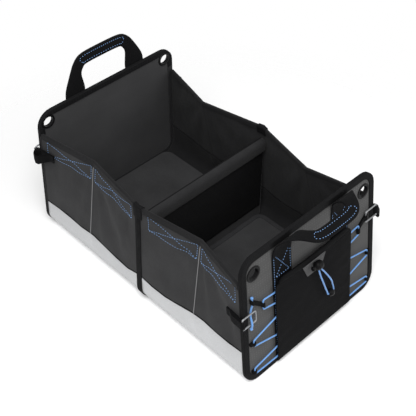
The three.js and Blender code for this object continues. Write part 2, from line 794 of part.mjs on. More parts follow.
// Elastic lacing: three turns out to the panel's edge and back behind the pocket's edge.
function buildLacing(word, side) {
  const turns = [
    [tensionReach, tensionHeight, tensionWidth / 2 + laceBend + 2.5],
    ...keeperHeights.map((height) => [keeperReach(height), height, keeperWidth / 2 + laceBend + 0.8]),
  ];
  const points = [];
  turns.forEach(([reach, height, half], i) => {
    points.push([laceTuck, laceHeights[2 * i]], [reach, height + half]);
    points.push([reach, height - half], [laceTuck, laceHeights[2 * i + 1]]);
  });
  const path = points.map(([across, height]) => new THREE.Vector3(side * across, height, laceLevel));
  place(`lacing_${word}`, cord(new Route(path, laceBend), laceRadius), materials.elastic, front.group);
  turns.slice(1).forEach(([reach, height], i) => {
    const fold = keeper(side, height).translate(side * reach, height - keeperWidth / 2, 0);
    place(`lacing_keeper_${word}_${i === 0 ? 'upper' : 'lower'}`, fold, materials.webbing, front.group);
  });
}

// A prism whose profile lies across the panel (x) and outwards from it (z), raised along y.
function upright(outline, width, holes = []) {
  return plate(outline, width, holes).rotateX(Math.PI / 2).translate(0, width, 0);
}

// A small tab folded round the cord and sewn under the edge binding.
function keeper(side, height) {
  const hole = laceRadius + clearance;
  const wrap = hole + keeperCloth;
  const low = laceLevel - wrap;
  const below = Math.max(0, cornerRadius - (height - keeperWidth / 2));
  const turn = cornerRadius - bindingProud - bindingWidth;
  const bindingEdge = halfWidth(height + keeperWidth) - cornerRadius + Math.sqrt(turn ** 2 - below ** 2);
  const tail = bindingEdge - 2 * clearance - keeperReach(height);
  const outline = [];
  for (let k = 0; k <= 10; k++) {
    const angle = -Math.PI / 2 - (Math.PI * 1.35 * k) / 10;
    outline.push(new THREE.Vector2(side * wrap * Math.cos(angle), laceLevel + wrap * Math.sin(angle)));
  }
  outline.push(new THREE.Vector2(side * tail, low + 2 * keeperCloth));
  outline.push(new THREE.Vector2(side * tail, low));
  return upright(outline, keeperWidth, [circle(0, laceLevel, hole, 12)]);
}

// A strap with an eye folded at each end; the far eye sits higher than the near one.
function buildTensionStrap(word, side, far) {
  const nearHole = laceRadius + clearance;
  const farHole = far.bar + clearance;
  const floor = clearance;
  const nearWrap = laceLevel - floor;
  const farWrap = far.level - floor;
  const span = far.across - tensionReach;
  const outline = [];
  for (let k = 0; k <= 8; k++) {
    const angle = -Math.PI / 2 - (Math.PI * k) / 8;
    outline.push(new THREE.Vector2(nearWrap * Math.cos(angle), laceLevel + nearWrap * Math.sin(angle)));
  }
  outline.push(new THREE.Vector2(nearWrap + 1, floor + 2 * keeperCloth));
  outline.push(new THREE.Vector2(span - farWrap - 1, floor + 2 * keeperCloth));
  for (let k = 0; k <= 8; k++) {
    const angle = Math.PI / 2 - (Math.PI * k) / 8;
    outline.push(new THREE.Vector2(span + farWrap * Math.cos(angle), far.level + farWrap * Math.sin(angle)));
  }
  const holes = [circle(0, laceLevel, nearHole, 12), circle(span, far.level, farHole, 12)];
  const strap = upright(outline, tensionWidth, holes);
  const slope = (far.height - tensionHeight) / span;
  strap.applyMatrix4(new THREE.Matrix4().makeShear(slope, 0, 0, 0, 0, 0));
  strap.scale(side, 1, 1).translate(side * tensionReach, tensionHeight - tensionWidth / 2, 0);
  place(`tension_strap_${word}`, strap, materials.webbing, front.group);
}

// A rectangular link of round wire; it lies level with the panel.
function link(side, inner, outer, centre, level) {
  const half = linkHeight / 2 - wireRadius;
  const low = centre - half;
  const high = centre + half;
  const path = rounded(corners([inner, low], [outer, low], [outer, high], [inner, high]), linkTurn, 3);
  return bentWire(path.map((point) => new THREE.Vector3(side * point.x, point.y, level)));
}

// Webbing from the side wall round the panel's edge, folded over the link's outer bar.
function cornerStrap(end, side, shape) {
  const { fold, level, bulge, droop, centre } = shape;
  const width = cornerStrapWidth;
  const height = centre * Math.cos(end.angle);
  const rootOut = -(panelThickness + bindingProud + cornerStrapRoot);
  const wallAt = (outwards) => wallY(side, panelX(end, height, outwards), height - 12) + clearance + 0.2;
  const edge = halfWidth(height - 12) + clearance + 0.2;
  const wrap = wireRadius + clearance + cornerCloth;
  const thick = 2 * cornerCloth;
  const outline = corners(
    [wallAt(rootOut), rootOut],
    [wallAt(-9), -9],
    [edge, -6],
    [edge, bindingProud],
    [fold - wrap, level],
    [fold - wrap * 0.7, level + wrap * 0.7],
    [fold, level + wrap],
    [fold + wrap * 0.7, level + wrap * 0.7],
    [fold + wrap, level],
    [fold + wrap + bulge * 0.55, level - 2],
    [fold + wrap * 0.6 + bulge, -6],
    [fold + wrap * 0.4 + bulge, -13],
    [fold + bulge * 0.55, -20],
    [wallAt(rootOut + 8) + thick, rootOut + 8],
    [wallAt(rootOut) + thick, rootOut],
  );
  const holes = [circle(fold, level, wireRadius + clearance, 10)];
  if (bulge > 8) {
    const inside = corners(
      [fold + wrap, level - 4.5],
      [fold + wrap + bulge * 0.5, level - 4.5],
      [fold + bulge, -7],
      [fold + bulge * 0.95 - 1, -12],
      [fold + bulge * 0.5, -17.5],
      [edge + thick + 1, -17],
      [edge + thick + 0.5, -8],
    );
    holes.push(rounded(inside, 1.2, 2));
  }
  const strap = upright(outline, width, holes);
  const at = strap.getAttribute('position');
  for (let i = 0; i < at.count; i++) {
    const over = Math.max(0, at.getX(i) - (fold + wrap));
    at.setXYZ(i, end.sign * side * at.getX(i), at.getY(i) + centre - width / 2 - droop * over, at.getZ(i));
  }
  return strap;
}

const eyeLevel = wireRadius + clearance + cornerCloth + clearance;

function buildCorner(end, side, name, shape) {
  const wire = link(end.sign * side, linkInner, linkOuter, shape.centre, shape.level);
  place(`corner_link_${name}`, wire, materials.wire, end.group);
  place(`corner_strap_${name}`, cornerStrap(end, side, shape), materials.webbing, end.group);
}

// Front corners: the links are held over the panel's edge by the straps from the lacing.
function buildFrontCorners() {
  const right = { fold: linkOuter, level: eyeLevel, bulge: 18, droop: 1.8, centre: rightLinkHeight };
  const left = { fold: linkOuter, level: 6, bulge: 0, droop: 0, centre: leftLinkHeight };
  buildCorner(front, 1, 'front_right', right);
  buildCorner(front, -1, 'front_left', left);
  const bar = { across: linkInner, height: rightLinkHeight, level: eyeLevel, bar: wireRadius };
  buildTensionStrap('right', 1, bar);
  const eye = linkInner + leftEyeShift;
  buildTensionStrap('left', -1, { across: eye, height: leftEyeHeight, level: laceLevel, bar: laceRadius });
  buildTieCord(eye, left.level);
}

// A short elastic from the left strap's eye, behind the link's upper wire and over its lower one.
function buildTieCord(eye, level) {
  const behind = laceRadius + clearance + 0.2;
  const over = level + wireRadius + clearance + laceRadius;
  const path = [
    [0, leftEyeHeight + 10, laceLevel],
    [0, leftEyeHeight - 6, laceLevel],
    [1.5, leftLinkHeight + 18, behind + 0.6],
    [3, leftLinkHeight + 11, behind],
    [5, leftLinkHeight + 2, behind + 1.2],
    [6.5, leftLinkHeight - 6, over - 2.2],
    [8, leftLinkHeight - 11, over],
    [9.5, leftLinkHeight - 19, over - 1],
  ].map(([x, y, z]) => new THREE.Vector3(-(eye + x), y, z));
  const knot = (point) => new THREE.SphereGeometry(laceRadius + 1, 8, 6).translate(point.x, point.y, point.z);
  const tie = join(cord(new Route(path, 4), laceRadius), knot(path[0]), knot(path[path.length - 1]));
  place('tie_cord_left', tie, materials.elastic, front.group);
}

// Rear corners: nothing pulls on the links, so they can swing out from the panel.
function buildRearCorners() {
  const shape = { fold: linkOuter, level: eyeLevel, bulge: 9.5, droop: 1, centre: rearLinkHeight };
  buildCorner(rear, -1, 'rear_left', shape);
  buildCorner(rear, 1, 'rear_right', shape);
}

// Cord lock: a barrel across the tab with a button that slides into its left end.
function buildCordLock() {
  const level = pocketFace(tabCentre, lockHeight) + pocketCloth + clearance + tabCloth;
  const centre = new THREE.Vector3(tabCentre, lockHeight, level + clearance + 0.2 + lockRadius);
  const half = lockLength / 2;
  const bore = buttonRadius - 1 + clearance;
  const depth = 8 + buttonTravel;
  const profile = corners(
    [0, -half],
    [5, -half],
    [7.2, -half + 2],
    [lockRadius, -half + 5],
    [lockRadius, half - 5],
    [6.8, half - 2],
    [4, half],
    [bore, half],
    [bore, half - depth],
    [0, half - depth],
  );
  const barrel = new THREE.LatheGeometry(profile, 20).rotateZ(Math.PI / 2);
  const sockets = [-1, 1].map((side) => {
    const socket = new THREE.CylinderGeometry(cordRadius + clearance, cordRadius + clearance, 6, 12);
    return socket.translate((side * cordSpacing) / 2 + 3, -lockRadius, 0);
  });
  const body = place('cord_lock_body', cut(barrel, ...sockets), materials.plastic, front.group);
  body.position.copy(centre);

  const stem = buttonRadius - 1;
  const cap = corners(
    [0, half - 8],
    [stem, half - 8],
    [stem, half + buttonTravel + clearance],
    [buttonRadius, half + buttonTravel + clearance],
    [buttonRadius, half + buttonTravel + 2.5],
    [3, half + buttonTravel + 4],
    [0, half + buttonTravel + 4.4],
  );
  const button = new THREE.LatheGeometry(cap, 16).rotateZ(Math.PI / 2);
  place('cord_lock_button', button, materials.plastic, front.group).position.copy(centre);
  return centre;
}

// The loop of cord below the lock, and the bead that it passes through.
function buildDrawcord(lock) {
  const bore = cordRadius + clearance;
  const flat = beadLength / 2;
  const profile = corners(
    [bore, -flat],
    [4.6, -flat],
    [6.6, -flat * 0.55],
    [beadRadius, 0],
    [6.6, flat * 0.55],
    [4.6, flat],
    [bore, flat],
    [bore, -flat],
  );
  const beadLevel = pocketFace(beadPlace.x, beadPlace.y) + pocketCloth + clearance + 0.5 + beadRadius;
  const bead = new THREE.LatheGeometry(profile, 16).rotateZ(Math.PI / 2);
  const ring = place('cord_bead', bead, materials.plastic, front.group);
  ring.position.set(beadPlace.x, beadPlace.y, beadLevel);

  const startY = lock.y - lockRadius + 1.5;
  const shift = lock.x + 3;
  const path = [
    [shift - cordSpacing / 2, startY, lock.z],
    [shift - cordSpacing / 2 + 0.5, startY - 8, lock.z],
    [shift + 6, startY - 34, lock.z - 1],
    [shift + 17, startY - 60, beadLevel + 1.5],
    [beadPlace.x - flat - 3.4, beadPlace.y + 9, beadLevel],
    [beadPlace.x - flat - 2.6, beadPlace.y, beadLevel],
    [beadPlace.x + flat + 2.6, beadPlace.y, beadLevel],
    [beadPlace.x + flat + 4, beadPlace.y + 9, beadLevel],
    [beadPlace.x + flat + 1.5, beadPlace.y + 28, beadLevel + 1.5],
    [shift + 21, startY - 34, lock.z],
    [shift + cordSpacing / 2 + 1, startY - 9, lock.z],
    [shift + cordSpacing / 2, startY, lock.z],
  ].map(([x, y, z]) => new THREE.Vector3(x, y, z));
  place('drawcord', cord(new Route(path, 9), cordRadius), materials.elastic, front.group);
}

buildTub();
buildWall('side_wall_left_rear', -1, 0);
buildWall('side_wall_left_front', -1, 1);
buildWall('side_wall_right_rear', 1, 0);
buildWall('side_wall_right_front', 1, 1);
buildRim('wall_rim_left', -1);
buildRim('wall_rim_right', 1);
buildCentreSeam('centre_seam_left', -1);
buildCentreSeam('centre_seam_right', 1);
buildFloor();
buildDivider();
buildMeshPocket();
buildPanel(rear, 'rear', rearGrommet);
buildPanel(front, 'front', frontGrommet);
buildHandle(rear, 'rear', rearHandleRise, rearHandleLean);
buildHandle(front, 'front', frontHandleRise, frontHandleLean);
buildPocket();
buildLacing('left', -1);
buildLacing('right', 1);
buildFrontCorners();
buildRearCorners();
buildDrawcord(buildCordLock());

export default box;
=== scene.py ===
# %% [markdown]
# # A folding storage box for a car boot
# The box is two stiff end panels joined by pleated cloth walls, with a pale wipe-clean
# tub below, a padded divider, webbing handles and a black pocket laced on with blue elastic.
# The solid frame comes from the CAD model. Here each piece of cloth gets its folds, its
# stitching and a finish made from nodes. Lengths are in millimetres until a piece is
# finished, because the box was drawn in them, and Blender gets metres.

# %% Load the frame
import bpy
import bmesh
import math
from mathutils import Matrix, Vector, noise


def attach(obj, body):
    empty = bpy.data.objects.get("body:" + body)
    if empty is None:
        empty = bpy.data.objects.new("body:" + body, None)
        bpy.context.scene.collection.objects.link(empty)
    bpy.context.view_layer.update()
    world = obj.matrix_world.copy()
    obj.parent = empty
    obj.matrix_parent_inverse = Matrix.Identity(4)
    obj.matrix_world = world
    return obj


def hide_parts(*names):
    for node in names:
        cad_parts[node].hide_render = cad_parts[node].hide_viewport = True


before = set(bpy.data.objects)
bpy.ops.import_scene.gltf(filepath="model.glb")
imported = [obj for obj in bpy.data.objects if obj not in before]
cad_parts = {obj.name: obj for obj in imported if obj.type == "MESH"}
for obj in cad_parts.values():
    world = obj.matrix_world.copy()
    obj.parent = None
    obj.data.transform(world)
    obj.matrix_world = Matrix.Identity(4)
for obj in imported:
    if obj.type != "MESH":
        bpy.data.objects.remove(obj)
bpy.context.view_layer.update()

MM = 0.001


def new_object(name, data):
    thing = bpy.data.objects.new(name, data)
    bpy.context.collection.objects.link(thing)
    return thing


# %% [markdown]
# ## The camera
# A camera stands where the photographer stood.
# The direction, the small roll and the lens were worked out from the corners of the box.
# The camera is aimed with three unit vectors: right, up and back, the columns of its
# rotation.

# %% Aim the camera
AZIMUTH, ELEVATION, ROLL = math.radians(45.101), math.radians(43.999), math.radians(0.651)
TARGET, DISTANCE = Vector((5.14, 2.907, 120.0)) * MM, 1687.7 * MM
LENS, SENSOR = 77.73, 36.0


def aim_camera():
    back = Vector((math.sin(AZIMUTH) * math.cos(ELEVATION), -math.cos(AZIMUTH) * math.cos(ELEVATION),
                   math.sin(ELEVATION)))
    level = Vector((0, 0, 1)).cross(back).normalized()
    raised = back.cross(level)
    right = level * math.cos(ROLL) + raised * math.sin(ROLL)
    up = raised * math.cos(ROLL) - level * math.sin(ROLL)
    camera = new_object("camera", bpy.data.cameras.new("camera"))
    turn = Matrix((right, up, back)).transposed().to_4x4()
    camera.matrix_world = Matrix.Translation(TARGET + back * DISTANCE) @ turn
    camera.data.lens = LENS
    camera.data.sensor_width = SENSOR
    bpy.context.scene.camera = camera
    return camera


camera = aim_camera()
print("camera at", [round(v, 3) for v in camera.location])

# %% [markdown]
# ## The sizes of the box
# Cloth pieces have to sit exactly on the frame, so the few rules that shape the frame are
# repeated here: how wide the box is at a height, where the end panels lean, and how far
# a wall stands in and dips at each of its folds. A rule is easier to trust than a list of
# copied points.

# %% Sizes
LENGTH, HEIGHT, TOP_WIDTH, FOOT_WIDTH = 560.0, 275.0, 331.0, 347.0
PANEL, PROUD, AIR = 4.0, 1.9, 0.3
CORNER = 32.0
LEAN = {"rear": 6.9, "front": 34.7}
SIGN = {"rear": -1.0, "front": 1.0}
CENTRE = 4.0
WALL_CLOTH, WALL_INSET, WALL_RUN = 2.4, 1.5, 545
FOLD_START, WALL_TOP = 34.0, 234.0
FOLD_ALONG = [0, 0.475, 1, 1.53, 2]
LEFT, RIGHT = -1, 1
DIP = {LEFT: [1, 1, 0, 8, 6], RIGHT: [17, 10, 0, 9, 24]}
INSET = {LEFT: [0, 21, 0, 29, 0], RIGHT: [0, 39, 17, 41, 0]}
TUB_EDGE = [66, 68, 67, 64, 66.5, 63, 59, 57, 66, 60, 59.5, 64.5, 70, 74, 73, 74.5, 80]


def lerp(a, b, t):
    return a + (b - a) * t


def clamp(v, low=0.0, high=1.0):
    return max(low, min(high, v))


def smooth(v, low, high):
    t = clamp((v - low) / (high - low))
    return t * t * (3 - 2 * t)


def on_path(path, share):
    """The stretch of a path that a share of its steps ends in, and how far through it."""
    step = clamp(share) * (len(path) - 1)
    i = min(int(step), len(path) - 2)
    return i, step - i


def half_width(z):
    return lerp(FOOT_WIDTH, TOP_WIDTH, z / HEIGHT) / 2


class EndPanel:
    """The axes of one end panel: across, up its face and straight out of it."""

    def __init__(self, name):
        self.sign = SIGN[name]
        self.angle = math.atan(LEAN[name] / HEIGHT)
        s, c = math.sin(self.angle), math.cos(self.angle)
        self.across = Vector((0, self.sign, 0))
        self.up = Vector((-self.sign * s, 0, c))
        self.out = Vector((self.sign * c, 0, s))
        self.origin = Vector((self.sign * (LENGTH / 2 - PROUD), 0, (PANEL + PROUD) * s))
        self.height = HEIGHT / c

    def point(self, u, v, w):
        return self.origin + self.across * u + self.up * v + self.out * w

    def x_at(self, z, w):
        rise = (z - self.origin.z) * math.sin(self.angle)
        return self.origin.x + self.sign * (w - rise) / math.cos(self.angle)


REAR, FRONT = EndPanel("rear"), EndPanel("front")
WALL_END = -(PANEL + PROUD + AIR)


def wall_x(along, z):
    """Along the box: 0 at the rear panel, 1 at the centre seam, 2 at the front panel."""
    if along <= 1:
        return lerp(REAR.x_at(z, WALL_END), CENTRE, along)
    return lerp(CENTRE, FRONT.x_at(z, WALL_END), along - 1)


def fold_share(along):
    """Which stretch between two folds a place along the wall is in, and how far through it."""
    along = clamp(along, 0.0, 2.0)
    i = next(k for k in range(1, 5) if FOLD_ALONG[k] >= along)
    return i, (along - FOLD_ALONG[i - 1]) / (FOLD_ALONG[i] - FOLD_ALONG[i - 1])


def between_folds(values, along):
    i, t = fold_share(along)
    return lerp(values[i - 1], values[i], t)


def wall_y(side, along, z):
    rise = clamp((z - FOLD_START) / (WALL_TOP - FOLD_START), 0, 1.1)
    return half_width(z) - WALL_INSET - rise * between_folds(INSET[side], along)


def tub_edge(along):
    i, t = on_path(TUB_EDGE, along / 2)
    return lerp(TUB_EDGE[i], TUB_EDGE[i + 1], t)


def wall_top(side, along):
    return WALL_TOP - between_folds(DIP[side], along)


print("panel lean, degrees:", round(math.degrees(REAR.angle), 2), round(math.degrees(FRONT.angle), 2))

# %% [markdown]
# ## Colours and cloth finishes
# A colour read from a screen is in sRGB, and a shader works in linear light, so each one is
# converted once. Woven cloth is made of two sets of threads. Two sine waves at right
# angles, taken from the piece's own flat measurements, give the threads, and a soft noise
# under them gives the slightly uneven dye and handling marks that keep it from looking
# like plastic.

# %% Colour and node helpers


def linear(code):
    values = [int(code[i:i + 2], 16) / 255 for i in (1, 3, 5)]
    return [v / 12.92 if v <= 0.04045 else ((v + 0.055) / 1.055) ** 2.4 for v in values] + [1.0]


class Nodes:
    """A short way to add and join nodes."""

    def __init__(self, owner):
        """owner is the world, or the name of a new material."""
        self.material = bpy.data.materials.new(owner) if isinstance(owner, str) else owner
        self.material.use_nodes = True
        self.tree = self.material.node_tree
        self.shader = self.tree.nodes.get("Principled BSDF")
        self.coordinates = self.tree.nodes.new("ShaderNodeTexCoord")

    def plug(self, inputs, values):
        """Each value is joined if it comes from a node, and set if it's a plain one."""
        for key, value in values.items():
            if isinstance(value, bpy.types.NodeSocket):
                self.tree.links.new(value, inputs[key])
            else:
                inputs[key].default_value = value

    def add(self, kind, values=None, **settings):
        node = self.tree.nodes.new(kind)
        for key, value in settings.items():
            setattr(node, key, value)
        self.plug(node.inputs, values or {})
        return node

    def paint(self, **values):
        """Sets the shader's own sockets, whose names are written with _ for each space."""
        self.plug(self.shader.inputs, {key.replace("_", " "): value for key, value in values.items()})

    def scaled(self, space, scale, turn=0.0):
        values = {"Vector": self.coordinates.outputs[space], "Scale": scale, "Rotation": (0, 0, turn)}
        return self.add("ShaderNodeMapping", values).outputs["Vector"]

    def axis(self, k, vector):
        return self.add("ShaderNodeSeparateXYZ", {"Vector": vector}).outputs[k]

    def outwards(self, panel):
        """How far a point lies along an end panel's outward direction."""
        place = self.coordinates.outputs["Object"]
        x, z = self.axis(0, place), self.axis(2, place)
        return self.plus(self.times(x, panel.out.x), self.times(z, panel.out.z))

    def speckle(self, cells, detail, **more):
        """Soft noise. cells is how many there are in a metre, on all axes or on each."""
        place = self.scaled("Object", cells if isinstance(cells, tuple) else (cells,) * 3)
        values = {"Vector": place, "Scale": 1.0, "Detail": detail, **more}
        return self.add("ShaderNodeTexNoise", values).outputs[0]

    def ranged(self, value, low, high, to_low=0.0, to_high=1.0):
        return self.add("ShaderNodeMapRange", {"Value": value, "From Min": low, "From Max": high,
                                               "To Min": to_low, "To Max": to_high}).outputs[0]

    def mix(self, a, b, factor, kind="MIX"):
        values = {0: factor, 6: a, 7: b}
        return self.add("ShaderNodeMix", values, data_type="RGBA", blend_type=kind).outputs[2]

    def blend(self, dark, light, factor):
        return self.mix(linear(dark), linear(light), factor)

    def shaded(self, colour, shade):
        tone = self.add("ShaderNodeCombineColor", {"Red": shade, "Green": shade, "Blue": shade})
        return self.mix(colour, tone.outputs[0], 1.0, "MULTIPLY")

    def maths(self, operation, a, b=0.0, c=0.0):
        return self.add("ShaderNodeMath", {0: a, 1: b, 2: c}, operation=operation).outputs[0]

    def times(self, a, b):
        return self.maths("MULTIPLY", a, b)

    def plus(self, a, b):
        return self.maths("ADD", a, b)

    def bump(self, height, distance, strength=1.0):
        """Dents the surface by height, at most distance in mm."""
        values = {"Height": height, "Distance": distance * MM, "Strength": strength}
        self.paint(Normal=self.add("ShaderNodeBump", values).outputs["Normal"])


def threads(nodes, space, pitch, turn):
    """Bright on top of a thread and dark between two, for both directions of the weave."""
    place = nodes.scaled(space, (1 / (pitch * MM),) * 3, turn)
    waves = [nodes.maths("SINE", nodes.times(nodes.axis(k, place), 2 * math.pi))
             for k in ((0, 1) if space == "UV" else (0, 1, 2))]
    height = nodes.times(waves[0], waves[1])
    if len(waves) == 3:
        for wave in waves[:2]:
            height = nodes.plus(height, nodes.times(wave, waves[2]))
        height = nodes.times(height, 0.6)
    return nodes.maths("MULTIPLY_ADD", height, 0.5, 0.5)


def with_piping(nodes, colour, u):
    """The colour with a thin pale line across the cloth at u."""
    across = nodes.axis(0, nodes.coordinates.outputs["UV"])
    off = nodes.maths("ABSOLUTE", nodes.maths("SUBTRACT", across, u))
    return nodes.mix(colour, linear("#8b8b8c"), nodes.ranged(off, 0.5 * MM, 1.3 * MM, 1.0, 0.0))


def cloth_finish(name, light, dark, pitch=1.1, turn=0.0, space="UV", roughness=0.9, sheen=0.03,
                 relief=0.12, patch=0.22, grid=None, shine=0.12, piping=()):
    """Woven cloth: threads, an uneven dye and, for ripstop, a grid of thicker threads."""
    nodes = Nodes(name)
    weave = threads(nodes, space, pitch, turn)
    dye = nodes.speckle(9, 6.0, Scale=1.6, Roughness=0.6)
    dye = nodes.ranged(dye, 0.3, 0.7, 1 - patch, 1 + patch * 0.6)
    grain = nodes.speckle(900, 2.0)
    shade = nodes.times(dye, nodes.maths("MULTIPLY_ADD", grain, 0.5, 0.75))
    height = weave
    if grid:
        ribs = nodes.ranged(threads(nodes, space, grid, turn), 0.62, 0.98)
        height = nodes.plus(weave, ribs)
        shade = nodes.times(shade, nodes.maths("MULTIPLY_ADD", ribs, 0.35, 0.9))
    colour = nodes.shaded(nodes.blend(dark, light, weave), shade)
    for share in piping:
        colour = with_piping(nodes, colour, share * WALL_RUN * MM)
    nodes.paint(Base_Color=colour, Roughness=roughness, Sheen_Weight=sheen, Sheen_Roughness=0.5,
                Specular_IOR_Level=shine)
    nodes.bump(nodes.plus(height, nodes.times(grain, 0.8)), relief, 0.8)
    return nodes.material


# %% [markdown]
# The charcoal outside, the near black inside and the grey ripstop of the front panel are the
# same kind of cloth with other numbers. Tape and webbing are narrow and handled more, so
# their threads are coarser, with single fibres and paler places where they are worn.

# %% Cloth for walls, panels, pocket, tub and inside
SLANT = 0.78
wall_outside = cloth_finish("wall_cloth", "#3f3f40", "#252526", pitch=2.2, turn=SLANT, piping=(0.25, 0.75))
wall_inside = cloth_finish("lining_cloth", "#2e2e2f", "#1c1c1d", pitch=1.3, turn=SLANT, roughness=0.75)
# Painted shade: the tub's lining is darker than the walls' lining to stand in for the shaded gap inside the
# tub.
tub_lining_painted_shade = cloth_finish("tub_lining_painted_shade", "#1f1f20", "#121213", pitch=1.3, turn=SLANT, roughness=0.8)
rim_cloth = cloth_finish("rim_cloth", "#252526", "#131314", pitch=1.3, space="Object")
edge_cloth = cloth_finish("edge_cloth", "#38383a", "#252526", pitch=1.2, space="Object")
pocket_cloth = cloth_finish("pocket_cloth", "#151516", "#0a0a0b", pitch=1.2, sheen=0.0, shine=0.06)
tab_cloth = cloth_finish("tab_cloth", "#5c5c5d", "#424243", pitch=1.4, turn=SLANT, grid=5.2)
board_cloth = cloth_finish("board_cloth", "#434344", "#2b2b2c", pitch=1.2, space="Object")
hem_cloth = cloth_finish("hem_cloth", "#2d2d2e", "#1b1b1c", pitch=1.3, turn=SLANT, sheen=0.05)
tub_cloth = cloth_finish("tub_cloth", "#c8c9ca", "#b2b3b5", pitch=1.5, turn=SLANT, roughness=0.5, sheen=0.0,
                         patch=0.05, relief=0.08, shine=0.3)


def panel_finish(name, panel):
    """Grey ripstop outside and dark lining inside, split at the middle of the board."""
    nodes = Nodes(name)
    middle = (panel.origin.dot(panel.out) - PANEL / 2) * MM
    is_outside = nodes.maths("GREATER_THAN", nodes.outwards(panel), middle)
    weave = threads(nodes, "Object", 1.5, 0.0)
    rip = nodes.ranged(threads(nodes, "Object", 5.5, 0.0), 0.7, 1.0, 0.9, 1.25)
    grid = nodes.maths("MULTIPLY_ADD", nodes.maths("SUBTRACT", rip, 1.0), is_outside, 1.0)
    shade = nodes.times(grid, nodes.maths("MULTIPLY_ADD", nodes.speckle(14, 7.0), 0.5, 0.75))
    inside, outside = nodes.blend("#303031", "#414142", weave), nodes.blend("#404040", "#585858", weave)
    nodes.paint(Base_Color=nodes.shaded(nodes.mix(inside, outside, is_outside), shade), Roughness=0.8,
                Sheen_Weight=0.03, Specular_IOR_Level=0.12)
    ridges = nodes.times(rip, is_outside)
    nodes.bump(nodes.plus(nodes.times(weave, 0.6), ridges), 0.15, 0.8)
    return nodes.material


def tape_finish(name, light, dark, pitch=1.6, space="Object", lined=None):
    """Woven tape with single fibres and worn places. On an end panel's edge, lined gives the
    panel and the height up to which the lining covers the tape inside the box."""
    nodes = Nodes(name)
    weave = threads(nodes, space, pitch, 0.6)
    wear = nodes.maths("MULTIPLY_ADD", nodes.speckle(22, 5.0), 0.9, 0.3)
    colour = nodes.blend(dark, light, nodes.times(weave, wear))
    if lined:
        panel, top = lined
        face = (panel.origin.dot(panel.out) - PANEL) * MM
        is_inside = nodes.maths("LESS_THAN", nodes.outwards(panel), face)
        is_low = nodes.maths("LESS_THAN", nodes.axis(2, nodes.coordinates.outputs["Object"]), top * MM)
        colour = nodes.mix(colour, linear("#2c2c2d"), nodes.times(is_inside, is_low))
    nodes.paint(Base_Color=colour, Roughness=0.8, Sheen_Weight=0.0, Specular_IOR_Level=0.06)
    nodes.bump(nodes.plus(weave, nodes.speckle(1300, 3.0)), 0.25, 0.9)
    return nodes.material


rear_panel_cloth = panel_finish("rear_panel_cloth", REAR)
front_panel_cloth = panel_finish("front_panel_cloth", FRONT)
binding_tape = tape_finish("binding_tape", "#1f1f20", "#0b0b0c")
rear_binding_tape = tape_finish("rear_binding_tape", "#1f1f20", "#0b0b0c", lined=(REAR, 228.0))
webbing_tape = tape_finish("webbing_tape", "#161617", "#060607", pitch=2.0)
handle_tape = tape_finish("handle_tape", "#171718", "#070708", pitch=2.2, space="UV")
print("cloth finishes:", len(bpy.data.materials))

# %% [markdown]
# The divider's pocket is a fine black net with its holes on the slant. Real holes would
# need millions of faces, so they are darker and dented instead.

# %% Net, plastic, wire and elastic


def net_finish(name):
    nodes = Nodes(name)
    place = nodes.scaled("UV", (1 / (4.2 * MM), 1 / (2.6 * MM), 1), 0.62)
    cells = nodes.add("ShaderNodeTexVoronoi", {"Vector": place, "Scale": 1.0, "Randomness": 0.08})
    hole = nodes.ranged(cells.outputs["Distance"], 0.18, 0.5)
    nodes.paint(Base_Color=nodes.blend("#010101", "#1b1b1c", hole), Roughness=0.8, Specular_IOR_Level=0.1)
    nodes.bump(hole, 0.6, 0.9)
    return nodes.material


def plastic_finish(name, code, roughness):
    nodes = Nodes(name)
    grain = nodes.speckle(420, 4.0)
    base = nodes.blend(code, "#2a2a2b", nodes.times(grain, 0.25))
    rough = nodes.ranged(grain, 0.0, 1.0, roughness - 0.1, roughness + 0.12)
    nodes.paint(Base_Color=base, Roughness=rough, Specular_IOR_Level=0.07)
    nodes.bump(grain, 0.05, 0.6)
    return nodes.material


def wire_finish(name):
    nodes = Nodes(name)
    drawn = nodes.speckle((300, 300, 2600), 5.0)
    nodes.paint(Base_Color=nodes.blend("#6a6b6d", "#a9aaac", drawn), Metallic=0.9,
                Roughness=nodes.ranged(drawn, 0.0, 1.0, 0.28, 0.5))
    nodes.bump(drawn, 0.03, 0.5)
    return nodes.material


def elastic_finish(name):
    """Braided elastic: bright blue with darker crossings of the braid."""
    nodes = Nodes(name)
    braid = threads(nodes, "Object", 1.5, 0.5)
    mixed = nodes.maths("MULTIPLY_ADD", braid, 0.6, nodes.times(nodes.speckle(500, 3.0), 0.5))
    nodes.paint(Base_Color=nodes.blend("#2f66ad", "#73a8e2", mixed), Roughness=0.55, Sheen_Weight=0.2)
    nodes.bump(braid, 0.2, 0.8)
    return nodes.material


def thread_finish(name):
    nodes = Nodes(name)
    twist = nodes.speckle(1500, 2.0)
    nodes.paint(Base_Color=nodes.blend("#608dc8", "#93bbec", twist), Roughness=0.6)
    nodes.bump(twist, 0.05, 0.5)
    return nodes.material


net_cloth = net_finish("net_cloth")
black_plastic = plastic_finish("black_plastic", "#080809", 0.32)
bright_wire = wire_finish("bright_wire")
blue_elastic = elastic_finish("blue_elastic")
blue_thread = thread_finish("blue_thread")
print("all finishes:", len(bpy.data.materials))

# %% [markdown]
# ## Finishes for the solids that keep their shape
# Boards, bindings, grommets, links and the cord lock already have their real shape in the
# frame, so they only need the right finish.

# %% Give each kept solid its finish
# The first of these words that is found in a name gives its finish.
FINISHES = [
    ("rear_panel_binding", rear_binding_tape), ("board_binding", edge_cloth), ("_binding", binding_tape),
    ("rear_panel", rear_panel_cloth), ("front_panel", front_panel_cloth), ("floor_board", board_cloth),
    ("divider_", binding_tape), ("divider", board_cloth), ("tie_cord", blue_elastic),
    ("cord_", black_plastic), ("grommet", black_plastic), ("rim", rim_cloth), ("link", bright_wire),
    ("strap", webbing_tape), ("keeper", webbing_tape), ("webbing", webbing_tape), ("", binding_tape),
]

